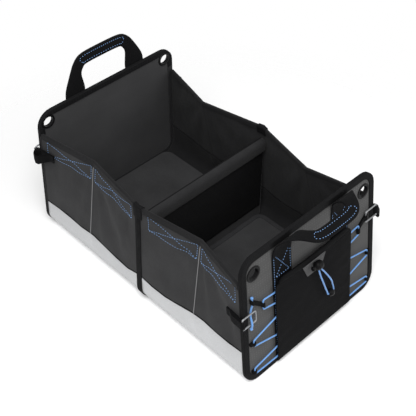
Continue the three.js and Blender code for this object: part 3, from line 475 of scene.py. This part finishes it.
for name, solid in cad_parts.items():
    finish = next(finish for word, finish in FINISHES if word in name)
    solid.data.materials.clear()
    solid.data.materials.append(finish)
    for face in solid.data.polygons:
        face.material_index = 0
print("finished solids:", len(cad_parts))

# %% [markdown]
# ## Cutting cloth
# Every cloth piece starts as a flat grid, as the real one starts on a cutting table. The
# grid's own flat sizes become its UV map, so the weave keeps one scale everywhere. Then each
# point is carried to its place on the box. Solidify gives the cloth its thickness, inwards
# from the outer face.

# %% Cloth from a flat grid


def map_cloth(bm, width, length):
    """Gives a unit piece the UV map of a cloth that was cut to width and length in mm."""
    sheet_map = bm.loops.layers.uv.new("cloth")
    for face in bm.faces:
        for loop in face.loops:
            a, b = loop.vert.co.x + 0.5, loop.vert.co.y + 0.5
            loop[sheet_map].uv = (a * width * MM, b * length * MM)


def cloth_piece(name, flat, cells, place, thickness, outside, lining=None, flip=False):
    """flat: width and length in mm. place(a, b), both from 0 to 1, gives a point in mm."""
    bm = bmesh.new()
    bmesh.ops.create_grid(bm, x_segments=cells[0], y_segments=cells[1], size=0.5)
    map_cloth(bm, *flat)
    for vert in bm.verts:
        vert.co = place(vert.co.x + 0.5, vert.co.y + 0.5) * MM
    if flip:
        bmesh.ops.reverse_faces(bm, faces=bm.faces)
    return finish_piece(name, bm, [outside] + ([lining] if lining else []), thickness)


def finish_piece(name, bm, materials, thickness=0.0):
    mesh = bpy.data.meshes.new(name)
    for face in bm.faces:
        face.smooth = True
    bm.to_mesh(mesh)
    bm.free()
    piece = new_object(name, mesh)
    for material in materials:
        mesh.materials.append(material)
    if thickness:
        wall = piece.modifiers.new("thickness", "SOLIDIFY")
        wall.thickness = thickness * MM
        wall.offset = -1.0
        wall.use_even_offset = True
        if len(materials) > 1:
            wall.material_offset = 1
            wall.material_offset_rim = 1
    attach(piece, "box")
    print(name, "faces:", len(mesh.polygons))
    return piece


def ripple(a, b, seed, size):
    """Soft folds from layered noise, a few millimetres at most."""
    fine = noise.noise(Vector((2.3 * a, 2.1 * b, seed + 7)))
    return size * (noise.noise(Vector((a, b, seed))) + 0.5 * fine)


# %% [markdown]
# ## The side walls
# Each wall is one length of cloth, creased inwards about halfway along each half so that
# the box can fold flat. On the real wall the cloth isn't a flat plate between creases: it
# bellies a little, and it drags in shallow folds. Noise, and waves that spread from the top
# of each crease, give those folds, and fade out before the sewn edges.

# %% Hang the two walls
PIPING, PIPING_WIDTH, PIPING_TOP = 1.6, 0.007, 0.93
BELLY, DRAG, FOLD_LIMIT = 2.4, 2.1, 2.6


def from_creases(along):
    return min(abs(along - FOLD_ALONG[1]), abs(along - FOLD_ALONG[3]))


def wall_point(side, along, z, proud=0.0):
    """A point of a wall's outer face, with its folds and the piping at its creases."""
    low, high = tub_edge(along), wall_top(side, along)
    b = clamp((z - low) / (high - low))
    half = along if along <= 1 else 2 - along
    crease = from_creases(along)
    edge = math.sin(math.pi * b) ** 0.5 * smooth(half, 0.0, 0.12) * smooth(1 - half, 0.0, 0.12)
    off_crease = smooth(crease, 0.02, 0.12)
    fold = ripple(along * 5.2, b * 1.3, 3.0 + side, 2.6) + ripple(along * 13, b * 3.4, 11.0 + side, 1.2)
    stretch, share = fold_share(along)
    from_crease = 1 - share if stretch in (1, 3) else share
    spoke = math.atan2(1 - b, 1.4 * from_crease)
    drag = DRAG * math.sin(10.5 * spoke + stretch) * smooth(math.hypot(1 - b, from_crease), 0.1, 0.6)
    belly = BELLY * math.sin(math.pi * b) * math.sin(math.pi * share)
    piping = PIPING * math.exp(-(crease / PIPING_WIDTH) ** 2) if b < PIPING_TOP else 0.0
    shift = min((fold + drag - belly) * edge * off_crease, FOLD_LIMIT)
    return Vector((wall_x(along, z), side * (wall_y(side, along, z) + shift + piping + proud), z))


def hang_wall(side, word):
    def place(a, b):
        # Columns crowd together at the folds.
        i = min(int(4 * a), 3)
        t = 4 * a - i
        along = lerp(FOLD_ALONG[i], FOLD_ALONG[i + 1], t - 0.036 * math.sin(2 * math.pi * t))
        z = lerp(tub_edge(along) + 0.3, wall_top(side, along), b)
        return wall_point(side, clamp(along, 0.0008, 1.9992), z)

    piece = cloth_piece(f"{word}_wall_cloth", (WALL_RUN, 172), (176, 44), place, WALL_CLOTH,
                        wall_outside, wall_inside, flip=side > 0)
    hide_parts(f"side_wall_{word}_rear", f"side_wall_{word}_front")
    return piece


left_wall, right_wall = hang_wall(LEFT, "left"), hang_wall(RIGHT, "right")

# %% [markdown]
# ## The pale tub
# The tub is coated cloth, stiffer and smoother than the walls. It wraps from one wall under
# the box to the other, with a turn of 32 mm along each lower edge, so one grid carried round
# that section is the whole piece. Its lining is darker than the walls' lining: painted shade for
# the shaded gap where the real lining hangs straight down, while this one slopes and faces up.
# The walls' creases press the tub in a little.

# %% Wrap the tub
TURN_FROM, TURN_TO = 0.4, 0.75
DENT, DENT_WIDTH = 2.2, 0.03


def tub_point(side, along, girth):
    """girth: 0 under the middle of the box, 1 at the tub's upper edge."""
    if girth >= TURN_TO:
        z = lerp(CORNER, tub_edge(along) - AIR, (girth - TURN_TO) / (1 - TURN_TO))
        return Vector((wall_x(along, z), side * wall_y(side, along, z), z))
    flat_reach = wall_y(side, along, CORNER) - CORNER
    turn = max(0.0, (girth - TURN_FROM) / (TURN_TO - TURN_FROM)) * math.pi / 2
    reach = flat_reach * girth / TURN_FROM if girth < TURN_FROM else flat_reach + CORNER * math.sin(turn)
    z = CORNER - CORNER * math.cos(turn)
    return Vector((wall_x(along, z), side * reach, z))


def tub_place(a, b):
    along = clamp(2 * a, 0.0005, 1.9995)
    girth = 2 * b - 1
    side = -1 if girth < 0 else 1
    up, below_edge = abs(girth), 1 - abs(girth)
    point = tub_point(side, along, up)
    rim = smooth(up, 0.5, TURN_TO) * smooth(below_edge, 0.0, 0.08)
    ends = smooth(min(along, 2 - along), 0.0, 0.1)
    dent = DENT * math.exp(-(from_creases(along) / DENT_WIDTH) ** 2)
    dent *= smooth(up, 0.76, 0.86) * smooth(below_edge, 0.0, 0.07)
    point.y += side * (ripple(along * 4, girth * 3, 21.0, 1.3) * rim * ends - 0.5 * rim * ends - dent)
    return point


# The tub's lining material carries painted shade, darker than the walls' lining.
tub = cloth_piece("tub_cloth_wrap", (544, 460), (136, 88), tub_place, WALL_CLOTH, tub_cloth, tub_lining_painted_shade,
                  flip=True)
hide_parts("base_tub")

# %% [markdown]
# The seam where the wall meets the tub shows as a thin dark welt. It follows the wavy upper
# edge of the tub. A narrow half-round strip is enough.

# %% Welt along the tub's edge


def welt(side, name):
    def place(a, b):
        along = clamp(2 * a, 0.002, 1.998)
        z = tub_edge(along) + lerp(-1.5, 1.7, b)
        bulge = 0.75 * math.sin(math.pi * b) + 0.12
        return Vector((wall_x(along, z), side * (wall_y(side, along, z) + bulge), z))

    piece = cloth_piece(name, (WALL_RUN, 4), (160, 6), place, 0.9, binding_tape, flip=side > 0)
    return piece


welt(LEFT, "left_tub_welt")
welt(RIGHT, "right_tub_welt")

# %% [markdown]
# ## Stitches
# Bold blue thread is what makes this box look sewn. One stitch is a small ball of twenty
# faces, drawn out to a grain of rice and pressed half into the cloth. A seam is a row of
# them with short gaps, and all the rows of one area are one piece.

# %% Sew a row of stitches
STITCH, GAP, THICK, STITCH_RISE = 2.7, 2.5, 0.55, 0.18
SEAM_STEPS = 60


def sew(bm, line, outward):
    """line(t) and outward(t), t from 0 to 1, give the seam and the cloth's outward direction."""
    points = [line(i / SEAM_STEPS) for i in range(SEAM_STEPS + 1)]
    total = sum((b - a).length for a, b in zip(points, points[1:]))
    count = max(1, round(total / (STITCH + GAP)))
    for i in range(count):
        t = (i + 0.5) / count
        half = 0.5 * STITCH / total
        start, end = line(max(0, t - half)), line(min(1, t + half))
        along = (end - start).normalized()
        out = outward(t)
        out = (out - along * out.dot(along)).normalized()
        turn = Matrix((along, out.cross(along), out)).transposed().to_4x4()
        size = Matrix.Diagonal((STITCH / 2, THICK, THICK * 0.8, 1))
        middle = Matrix.Translation(((start + end) / 2 + out * STITCH_RISE) * MM)
        place = middle @ turn @ size @ Matrix.Scale(MM, 4)
        bmesh.ops.create_icosphere(bm, subdivisions=1, radius=1.0, matrix=place)


def stitch_piece(name, bm):
    piece = finish_piece(name, bm, [blue_thread])
    return piece


# %% [markdown]
# ### Stitching on the walls
# Each quarter of a wall carries one reinforced band under the rim: a seam down each end, one
# along the bottom and two crossing between them. Each is drawn in the wall's own
# coordinates, along and height, and then carried on to the folded cloth.

# %% Sew the wall bands
BAND_TOP = 10.5
# Where each band starts and ends along the wall, and how far it reaches down at both ends.
BANDS = [(0.055, 0.455, 44, 40), (0.497, 0.925, 40, 43), (1.085, 1.508, 43, 40), (1.552, 1.955, 40, 46)]


def wall_seam(side, start, end):
    """The line and the outward direction of a seam between two places (along, drop)."""
    def at(t):
        along = lerp(start[0], end[0], t)
        return along, wall_top(side, along) - lerp(start[1], end[1], t)

    def line(t):
        return wall_point(side, *at(t), proud=0.1)

    def outward(t):
        along, z = at(t)
        step = 0.004
        d_along = wall_point(side, along + step, z) - wall_point(side, along - step, z)
        d_up = wall_point(side, along, z + 1) - wall_point(side, along, z - 1)
        out = d_along.cross(d_up)
        return out if out.y * side > 0 else -out

    return line, outward


def sew_wall(side, name):
    bm = bmesh.new()
    for left, right, drop_left, drop_right in BANDS:
        low_left, low_right = (left, drop_left), (right, drop_right)
        high_left, high_right = (left, BAND_TOP), (right, BAND_TOP)
        for start, end in ((high_left, low_left), (high_right, low_right), (low_left, low_right),
                           (high_left, low_right), (low_left, high_right)):
            sew(bm, *wall_seam(side, start, end))
    return stitch_piece(name, bm)


sew_wall(LEFT, "left_wall_stitches")
sew_wall(RIGHT, "right_wall_stitches")

# %% [markdown]
# ## The handles
# One length of webbing runs up the panel, over as a handle and down again. At the grip it is
# folded to half its width and sewn through, which makes it narrow and thick there, so the
# webbing's two edges draw together on the way up. The band is a grid whose long side follows
# the handle's line.

# %% Webbing handles
WEB_WIDTH, WEB_THICK, SPREAD, WEB_FOOT, BAND_LENGTH = 45.0, 1.8, 73.0, 12.9, 750.0
GRIP_WIDTH, GRIP_THICK = 24.0, 5.0
LIFT_FROM, LIFT_TO = 236, 257
# The panel, the height where the webbing leaves it, the rise from there, the degrees it
# leans over on the way, and how far its limbs are drawn in.
HANDLES = {"rear": (REAR, 257.0, 82.0, 10.0, 0.0), "front": (FRONT, 251.5, 79.0, 117.0, 8.0)}
# One limb: how far in it stands at each share of the rise.
ARCH = [(0, 0), (0.5, 0.22), (3, 0.47), (8, 0.72), (18.5, 0.91), (32, 0.985), (SPREAD, 1)]


def catmull(points, steps):
    """Evenly spaced points on a smooth curve through the given ones."""
    fine = []
    ends = [points[0] * 2 - points[1]] + points + [points[-1] * 2 - points[-2]]
    for i in range(1, len(ends) - 2):
        p0, p1, p2, p3 = ends[i - 1:i + 3]
        for k in range(24):
            t = k / 24
            fine.append(0.5 * ((2 * p1) + (p2 - p0) * t + (2 * p0 - 5 * p1 + 4 * p2 - p3) * t * t
                               + (3 * p1 - p0 - 3 * p2 + p3) * t ** 3))
    fine.append(points[-1].copy())
    lengths = [0.0]
    for a, b in zip(fine, fine[1:]):
        lengths.append(lengths[-1] + (b - a).length)
    out, k = [], 0
    for i in range(steps + 1):
        want = lengths[-1] * i / steps
        while k < len(lengths) - 2 and lengths[k + 1] < want:
            k += 1
        gap = lengths[k + 1] - lengths[k] or 1.0
        out.append(fine[k].lerp(fine[k + 1], (want - lengths[k]) / gap))
    return out


def handle_line(leave, rise, gather):
    right = []
    for inset, share in ARCH:
        across = SPREAD - inset
        across -= gather * smooth(share, 0, 0.7) * min(1, across / 40)
        right.append(Vector((across, leave + rise * share, 0)))
    left = [Vector((-p.x, p.y, 0)) for p in reversed(right[:-1])]
    legs = [Vector((SPREAD, v, 0)) for v in (WEB_FOOT, 70, 130, 190, 235, 247)]
    down = [Vector((-p.x, p.y, 0)) for p in reversed(legs)]
    return catmull(legs + right + left + down, 200)


def handle_frame(name):
    """Gives point(s, share, level): s along the band, share across it, level out of its face."""
    panel, leave, rise, lean, gather = HANDLES[name]
    line = handle_line(leave, rise, gather)
    radius = rise / math.radians(lean)

    def narrow(v):
        return smooth(v, leave + 0.25 * rise, leave + 0.8 * rise)

    def point(s, share, level):
        i, t = on_path(line, s)
        at = line[i].lerp(line[i + 1], t)
        tangent = (line[min(i + 2, len(line) - 1)] - line[max(i - 1, 0)]).normalized()
        side = Vector((tangent.y, -tangent.x, 0))
        width = lerp(WEB_WIDTH, GRIP_WIDTH, narrow(at.y))
        thick = lerp(WEB_THICK, GRIP_THICK, narrow(at.y))
        flat = at + side * width * share
        crown = 0.35 * (thick - WEB_THICK) * (abs(share) * 2) ** 4
        swell = (thick - WEB_THICK) / 2 - crown
        lift = AIR + PROUD * smooth(flat.y, LIFT_FROM, LIFT_TO)
        depth = lerp(lift - swell, lift + WEB_THICK + swell, level)
        turn = max(0.0, (flat.y - leave) / radius)
        up = min(flat.y, leave) + (radius - depth) * math.sin(turn)
        out = radius * (1 - math.cos(turn)) + depth * math.cos(turn)
        return panel.point(flat.x, up, out)

    return point


def weave_handle(name):
    point = handle_frame(name)
    bm = bmesh.new()
    bmesh.ops.create_cube(bm, size=1.0)
    long_edges = [e for e in bm.edges if abs(e.verts[0].co.x - e.verts[1].co.x) > 0.5]
    bmesh.ops.subdivide_edges(bm, edges=long_edges, cuts=170, use_grid_fill=True)
    cross_edges = [e for e in bm.edges if abs(e.verts[0].co.y - e.verts[1].co.y) > 0.5]
    bmesh.ops.subdivide_edges(bm, edges=cross_edges, cuts=9, use_grid_fill=True)
    map_cloth(bm, BAND_LENGTH, WEB_WIDTH)
    for vert in bm.verts:
        vert.co = point(vert.co.x + 0.5, vert.co.y, vert.co.z + 0.5) * MM
    bmesh.ops.recalc_face_normals(bm, faces=bm.faces)
    piece = finish_piece(f"{name}_handle_band", bm, [handle_tape])
    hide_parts(f"{name}_handle_webbing")
    return piece


weave_handle("rear")
weave_handle("front")

# %% [markdown]
# ### Stitching on the webbing
# A seam runs up each edge of the webbing where it is sewn to the panel, a box with a cross
# holds it just under the top, and a long narrow rectangle, which shows on both faces, closes
# the fold of the grip.

# %% Sew the webbing
SEAM_INSET, BOX_HALF, BOX_TOP, SEAM_TOP = 3.2, 16, 245.0, 247.0
BOX_FOOT = {"rear": 196.0, "front": 199.0}
GRIP_SEAM, GRIP_SHARE = 0.067, 0.26


def grip_seam(point, start, end, face):
    """The line and the outward direction of a seam on one face of the grip."""
    def at(t, level):
        return point(lerp(start[0], end[0], t), lerp(start[1], end[1], t), level)

    return (lambda t: at(t, 1.02 if face > 0 else -0.02)), (lambda t: (at(t, 1.0) - at(t, 0.0)) * face)


def sew_webbing(name):
    panel, low = HANDLES[name][0], BOX_FOOT[name]
    bm = bmesh.new()

    def sew_flat(start, end):
        a, b = [panel.point(u, v, AIR + WEB_THICK + 0.1) for u, v in (start, end)]
        sew(bm, lambda t: a.lerp(b, t), lambda t: panel.out)

    for side in (-1, 1):
        for edge in (-1, 1):
            u = side * SPREAD + edge * (WEB_WIDTH / 2 - SEAM_INSET)
            sew_flat((u, WEB_FOOT + 3 if name == "rear" or edge == side else low), (u, SEAM_TOP))
        left, right = side * SPREAD - BOX_HALF, side * SPREAD + BOX_HALF
        sew_flat((left, low), (right, BOX_TOP))
        sew_flat((right, low), (left, BOX_TOP))
        sew_flat((left, low), (right, low))
    point = handle_frame(name)
    s0, s1, share = 0.5 - GRIP_SEAM, 0.5 + GRIP_SEAM, GRIP_SHARE
    for start, end in (((s0, -share), (s1, -share)), ((s0, share), (s1, share)),
                       ((s0, -share), (s0, share)), ((s1, -share), (s1, share))):
        for face in (-1, 1):
            sew(bm, *grip_seam(point, start, end, face))
    return stitch_piece(f"{name}_webbing_stitches", bm)


sew_webbing("rear")
sew_webbing("front")

# %% [markdown]
# The tape of the middle seam is turned over the rim of the wall and sewn down inside, so a
# wider fold of it sits on each rim.

# %% Fold the seam tape over the rims
TURN_WIDTH, TURN_CLOTH = 20.0, 1.2
HALF_LENGTH = FRONT.x_at(WALL_TOP, WALL_END) - CENTRE
# From the wall's face outwards and from its top upwards.
TURN_PATH = [(2.4, -24), (3.0, -12), (3.5, -6), (3.4, 0.5), (1.6, 3.4),
             (-3.6, 3.4), (-5.8, 0.5), (-5.8, -7), (-5.6, -14)]


def turn_over(side, name):
    path = catmull([Vector((out, up, 0)) for out, up in TURN_PATH], 48)

    def place(a, b):
        i, t = on_path(path, b)
        at = path[i].lerp(path[i + 1], t)
        shift = (a - 0.5) * TURN_WIDTH
        along = 1 + shift / HALF_LENGTH
        z = wall_top(side, along) + at.y
        return Vector((CENTRE + shift, side * (wall_y(side, along, z) + at.x), z))

    piece = cloth_piece(name, (TURN_WIDTH, 54), (8, 48), place, TURN_CLOTH, binding_tape, flip=side > 0)
    return piece


turn_over(LEFT, "left_seam_turn")
turn_over(RIGHT, "right_seam_turn")

# %% [markdown]
# ## The laced pocket
# The pocket is a square of smooth black cloth with a rounded top, pulled out sideways by the
# lacing, so its sides curl back and its middle stands off the panel. Its mouth has a thick
# rolled hem.

# %% Pocket, hem and tab
POCKET_HALF, POCKET_FOOT, POCKET_TOP, POCKET_TURN, POCKET_CLOTH = 97.0, 5.0, 200.0, 24.0, 2.5
LACE_ROOM = 1.75
LACE_LEVEL = WEB_THICK + 2 * AIR + LACE_ROOM
POCKET_LEVEL = LACE_LEVEL + LACE_ROOM + AIR
LACE_HEIGHTS = [(170, 145), (115, 69), (43, 17)]
HEM, HEM_CLOTH = 11.0, 4.4
TAB_AT, TAB_TALL, TAB_CLOTH = -8.0, 26, 1.5


def pocket_face(u, v):
    foot = lerp(PROUD + AIR, POCKET_LEVEL, smooth(v, POCKET_FOOT, POCKET_FOOT + 6))
    dome = 1 - min(1.0, abs(u) / POCKET_HALF) ** 3
    return foot + 4.5 * dome * smooth(v, 30, POCKET_TOP - 10)


def pocket_edge(u):
    over = abs(u) - (POCKET_HALF - POCKET_TURN)
    if over <= 0:
        return POCKET_TOP
    return POCKET_TOP - POCKET_TURN + math.sqrt(max(0.0, POCKET_TURN ** 2 - over ** 2))


def pocket_fold(u, v):
    """Shallow folds that run in from the lacing points, and a slack belly at the mouth."""
    pull = 0.0
    for height in sum(LACE_HEIGHTS, ()):
        reach = (POCKET_HALF - abs(u)) / 42
        pull += math.exp(-((v - height) / 7.0) ** 2) * math.exp(-reach) * 0.7
    soft = ripple(u / 46, v / 38, 31.0, 1.0)
    fade = smooth(v, POCKET_FOOT + 2, 26) * smooth(POCKET_HALF - abs(u), 0, 12)
    return soft * fade + pull * fade


def pocket_place(a, b):
    u = POCKET_HALF * math.sin((a - 0.5) * math.pi * 0.94) / math.sin(0.47 * math.pi)
    top = min(pocket_edge(u), POCKET_TOP - HEM)
    v = lerp(POCKET_FOOT, top, b)
    return FRONT.point(u, v, pocket_face(u, v) + POCKET_CLOTH + pocket_fold(u, v) * 0.9)


pocket = cloth_piece("pocket_sheet", (194, 195), (90, 84), pocket_place, 2.0, pocket_cloth)
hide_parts("pocket")


def hem_place(a, b):
    inside = POCKET_HALF - POCKET_TURN
    u = lerp(-(inside + POCKET_TURN * 0.7), inside + POCKET_TURN * 0.7, a)
    foot = POCKET_TOP - HEM + AIR
    v = lerp(foot, max(pocket_edge(u), foot + 1.5), b)
    roll = 1.2 * math.sin(math.pi * lerp(0.1, 0.9, b)) + 0.25 * noise.noise(Vector((u / 9, b, 4)))
    return FRONT.point(u, v, pocket_face(u, v) + POCKET_CLOTH + roll)


hem = cloth_piece("pocket_hem_roll", (182, 14), (80, 12), hem_place, HEM_CLOTH, pocket_cloth)
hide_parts("pocket_hem")


def tab_place(a, b):
    v = lerp(POCKET_TOP - HEM - TAB_TALL, POCKET_TOP - HEM, b)
    u = TAB_AT + (2 * a - 1) * lerp(17.5, 28.5, b)
    bulge = 0.2 * math.sin(math.pi * b)
    return FRONT.point(u, v, pocket_face(u, v) + POCKET_CLOTH + AIR + TAB_CLOTH + bulge)


tab = cloth_piece("pocket_tab_patch", (57, TAB_TALL), (24, 14), tab_place, 1.4, tab_cloth)
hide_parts("pocket_tab")

# %% [markdown]
# ## The divider
# The divider is a stiff board under a soft padded roll, with a slack mesh pocket on the side
# of the front compartment. The roll is drawn tight round the board but puckers along its
# lower seam.

# %% Padded roll and mesh pocket
BOARD_TOP, BOARD_HALF, ROLL_WALL, ROLL_TALL, FLARE = 198.0, 2.3, 4.0, 22.0, 0.02


def along_at(x, z):
    if x < CENTRE:
        return (x - REAR.x_at(z, WALL_END)) / (CENTRE - REAR.x_at(z, WALL_END))
    return 1 + (x - CENTRE) / (FRONT.x_at(z, WALL_END) - CENTRE)


def divider_reach(side, z, half):
    narrow = min(wall_y(side, along_at(x, z), z) for x in (CENTRE - half, CENTRE + half))
    return side * (narrow - WALL_CLOTH - 2 * AIR)


ROLL_HALF = BOARD_HALF + ROLL_WALL
ROLL_TOP = BOARD_TOP + AIR + ROLL_WALL
ROLL_FOOT = ROLL_TOP - ROLL_TALL
ROLL_FROM, ROLL_TO = [divider_reach(side, ROLL_TOP, ROLL_HALF) for side in (LEFT, RIGHT)]
ROLL_SIDE = ROLL_TALL - ROLL_HALF
ROLL_GIRTH = 2 * ROLL_SIDE + math.pi * ROLL_HALF


def roll_place(a, b):
    """Round the roll's section: up one face, over the crown and down the other."""
    y = lerp(ROLL_FROM, ROLL_TO, a)
    girth = ROLL_GIRTH * b
    pucker = 0.45 * math.sin(y / 4.2 + 2.5 * noise.noise(Vector((y / 25, 0, 2)))) * (1 - min(1, girth / 9))
    turn = (girth - ROLL_SIDE) / ROLL_HALF
    if turn < 0:
        x, z = ROLL_HALF, ROLL_FOOT + girth
    elif turn < math.pi:
        x, z = ROLL_HALF * math.cos(turn), ROLL_TOP - ROLL_HALF + ROLL_HALF * math.sin(turn)
    else:
        x, z = -ROLL_HALF, ROLL_FOOT + ROLL_GIRTH - girth
    tuck = 1.6 * math.exp(-((z - ROLL_FOOT) / 5.0) ** 2)
    soft = ripple(y / 40, b * 3, 51.0, 0.5)
    x += math.copysign(max(0.0, tuck - 0.2), -x) + math.copysign(soft + pucker, x) * 0.6
    return Vector((CENTRE + x, y, z))


def bind_rear(piece):
    """The half of the roll behind the crown is black binding."""
    piece.data.materials.append(binding_tape)
    sheet_map = piece.data.uv_layers["cloth"].data
    for face in piece.data.polygons:
        girth = sum(sheet_map[k].uv.y for k in face.loop_indices) / len(face.loop_indices)
        face.material_index = 1 if girth > 0.53 * ROLL_GIRTH * MM else 0


roll = cloth_piece("divider_roll", (ROLL_TO - ROLL_FROM, ROLL_GIRTH), (120, 34), roll_place, 3.4, hem_cloth,
                   flip=True)
bind_rear(roll)
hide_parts("divider_hem")


def net_place(a, b):
    low, high = 34.0, ROLL_FOOT - 3
    left = divider_reach(LEFT, high, 2) + 2
    right = divider_reach(RIGHT, BOARD_TOP, 2) + FLARE * (BOARD_TOP - high) - 2
    across = 2 * a - 1
    z = lerp(low, high, b)
    slack = 2.4 * (1 - across ** 2) * math.sin(math.pi * b * 0.75)
    soft = 0.8 * (1 + ripple(a * 6, b * 3, 61.0, 0.9)) * math.sin(math.pi * b) * (1 - across ** 6)
    return Vector((CENTRE + 2 + AIR + slack + 1.2 + soft, lerp(left, right, a), z))


net = cloth_piece("divider_net", (309, 143), (90, 40), net_place, 1.1, net_cloth)
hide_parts("divider_mesh_pocket")

# %% [markdown]
# ## The elastic cords
# Each cord is a curve with a round section, so its thickness stays true. The lacing runs in
# zigzags: it comes out from behind the pocket, turns through a tab at the panel's edge and
# goes back behind the pocket, three times on each side.

# %% Lay the lacing
LACE_RADIUS, LACE_TUCK, LACE_BEND, LACE_INSET = 1.4, 88.0, 4.5, 20.5
CORNER_STEPS = 5
# Where the cord turns: how far out, how high, and half of the length that runs up the tab.
LACE_TURNS = [(123.5, 164, 10.5)] + [(half_width(z) - LACE_INSET, z, 6.8) for z in (93, 25.5)]


def soft_route(points, bend):
    """The points of a cord on the front panel, with its corners rounded off."""
    route = [points[0]]
    for before, corner, after in zip(points, points[1:], points[2:]):
        a, b = before - corner, after - corner
        reach = min(bend / math.tan(a.angle(b) / 2), a.length / 2.1, b.length / 2.1)
        start, end = corner + a.normalized() * reach, corner + b.normalized() * reach
        for k in range(CORNER_STEPS + 1):
            t = k / CORNER_STEPS
            route.append(start * (1 - t) ** 2 + corner * 2 * t * (1 - t) + end * t * t)
    route.append(points[-1])
    return [FRONT.point(*p) for p in route]


def lay_curve(name, route, radius, replaced):
    curve = bpy.data.curves.new(name, "CURVE")
    curve.dimensions = "3D"
    curve.bevel_depth = radius * MM
    curve.bevel_resolution = 4
    curve.use_fill_caps = True
    spline = curve.splines.new("POLY")
    spline.points.add(len(route) - 1)
    for point, where in zip(spline.points, route):
        point.co = (*(where * MM), 1.0)
    piece = new_object(name, curve)
    curve.materials.append(blue_elastic)
    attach(piece, "box")
    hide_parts(replaced)
    return piece


def lace(side, word):
    points = []
    for (upper, lower), (reach, middle, half) in zip(LACE_HEIGHTS, LACE_TURNS):
        corners = [(LACE_TUCK, upper), (reach, middle + half), (reach, middle - half), (LACE_TUCK, lower)]
        points += [Vector((side * across, height, LACE_LEVEL)) for across, height in corners]
    return lay_curve(f"{word}_lace", soft_route(points, LACE_BEND), LACE_RADIUS, f"lacing_{word}")


lace(LEFT, "left")
lace(RIGHT, "right")
print("cord radius", LACE_RADIUS, "mm")

# %% [markdown]
# The free end of the pocket mouth's elastic is a loop: one strand leaves the lock's
# underside, hangs down the pocket to the bead, goes through it and comes back as the other.

# %% Lay the drawcord
LOCK_RADIUS, CORD_RADIUS, CORD_GAP, CORD_BEND = 8.2, 1.5, 4.2, 14
BEAD_RADIUS = 7.4
LOCK = Vector((TAB_AT, 183.0, pocket_face(TAB_AT, 183) + POCKET_CLOTH + TAB_CLOTH + 2 * AIR + 0.2))
LOCK.z += LOCK_RADIUS
BEAD_AT = Vector((31.0, 88.0, pocket_face(31, 88) + POCKET_CLOTH + AIR + 0.5 + BEAD_RADIUS))
MOUTH = Vector((LOCK.x + 3, LOCK.y - LOCK_RADIUS + 1.5, LOCK.z))
# The first strand from the lock's mouth down, and then the way through the bead and up.
STRAND_DOWN = [(-CORD_GAP / 2, 0, 0), (-CORD_GAP / 2 + 0.5, -8, 0), (4.5, -27, -1), (12, -47, -1.5)]
THROUGH_BEAD = [(-8.9, 6, 0), (-8.1, 0, 0), (8.1, 0, 0), (6.7, 9, 0), (3, 20, 1)]
STRAND_UP = [(-2.5, 32, -1), (-9, 45, -1), (-16.5, 58, -1), (-24.5, 70.5, 0), (-31, 80, 0)]


def cord_route():
    down = [MOUTH + Vector(step) for step in STRAND_DOWN]
    bead = [BEAD_AT + Vector(step) for step in THROUGH_BEAD]
    up = [Vector((BEAD_AT.x + x, BEAD_AT.y + y, LOCK.z + z)) for x, y, z in STRAND_UP]
    turn = Vector((MOUTH.x + 21, MOUTH.y - 68, BEAD_AT.z + 1))
    return soft_route(down + [turn] + bead + up + [MOUTH + Vector((CORD_GAP / 2, 0, 0))], CORD_BEND)


def lay_drawcord():
    route = cord_route()
    piece = lay_curve("drawcord_loop", route, CORD_RADIUS, "drawcord")
    length = sum((b - a).length for a, b in zip(route, route[1:])) * MM
    print("drawcord length, m:", round(length, 3))


lay_drawcord()

# %% [markdown]
# ## All the cloth pieces are made

print("cloth pieces made")

# %% [markdown]
# ## Floor and light
# A pale floor that shows as white to the camera, a wide soft light from above and in front,
# and a gentle fill keep the dark cloth readable without grey haze. The white is only what
# the camera and glossy surfaces see, so it puts no extra light on the box.

# %% Build the studio
FADE_FROM, FADE_TO = 0.34, 0.75
WORLD_LEVEL = 0.47


def white_floor():
    bm = bmesh.new()
    bmesh.ops.create_grid(bm, x_segments=1, y_segments=1, size=4.0)
    mesh = bpy.data.meshes.new("studio_floor")
    bm.to_mesh(mesh)
    bm.free()
    floor = new_object("studio_floor", mesh)
    nodes = Nodes("studio_floor")
    far = nodes.add("ShaderNodeVectorMath", {0: nodes.coordinates.outputs["Object"]}, operation="LENGTH")
    nodes.paint(Base_Color=(0.98, 0.98, 0.98, 1), Roughness=0.9,
                Alpha=nodes.ranged(far.outputs["Value"], FADE_FROM, FADE_TO, 1.0, 0.0))
    mesh.materials.append(nodes.material)
    return floor


def soft_light(name, place, size, power):
    lamp = bpy.data.lights.new(name, "AREA")
    lamp.shape = "SQUARE"
    lamp.size = size
    lamp.energy = power
    holder = new_object(name, lamp)
    place = Vector(place)
    aim = (Vector((0, 0, 0.1)) - place).normalized()
    holder.matrix_world = Matrix.Translation(place) @ aim.to_track_quat("-Z", "Y").to_matrix().to_4x4()
    return holder


def white_world(level):
    world = bpy.data.worlds.new("studio")
    bpy.context.scene.world = world
    nodes = Nodes(world)
    nodes.tree.nodes.clear()
    path = nodes.add("ShaderNodeLightPath").outputs
    seen = nodes.maths("MAXIMUM", path["Is Camera Ray"], path["Is Glossy Ray"])
    seen = nodes.maths("MAXIMUM", seen, path["Is Transmission Ray"])
    strength = nodes.ranged(seen, 0.0, 1.0, level, 1.0)
    sky = nodes.add("ShaderNodeBackground", {"Color": (1, 1, 1, 1), "Strength": strength})
    nodes.add("ShaderNodeOutputWorld", {"Surface": sky.outputs[0]})


white_floor()
white_world(WORLD_LEVEL)
soft_light("key", (0.7, -0.9, 2.0), 1.3, 45)
soft_light("fill", (1.8, 0.6, 1.0), 1.6, 15)
bpy.context.scene.view_settings.view_transform = "Standard"
print("lamps:", len(bpy.data.lights))
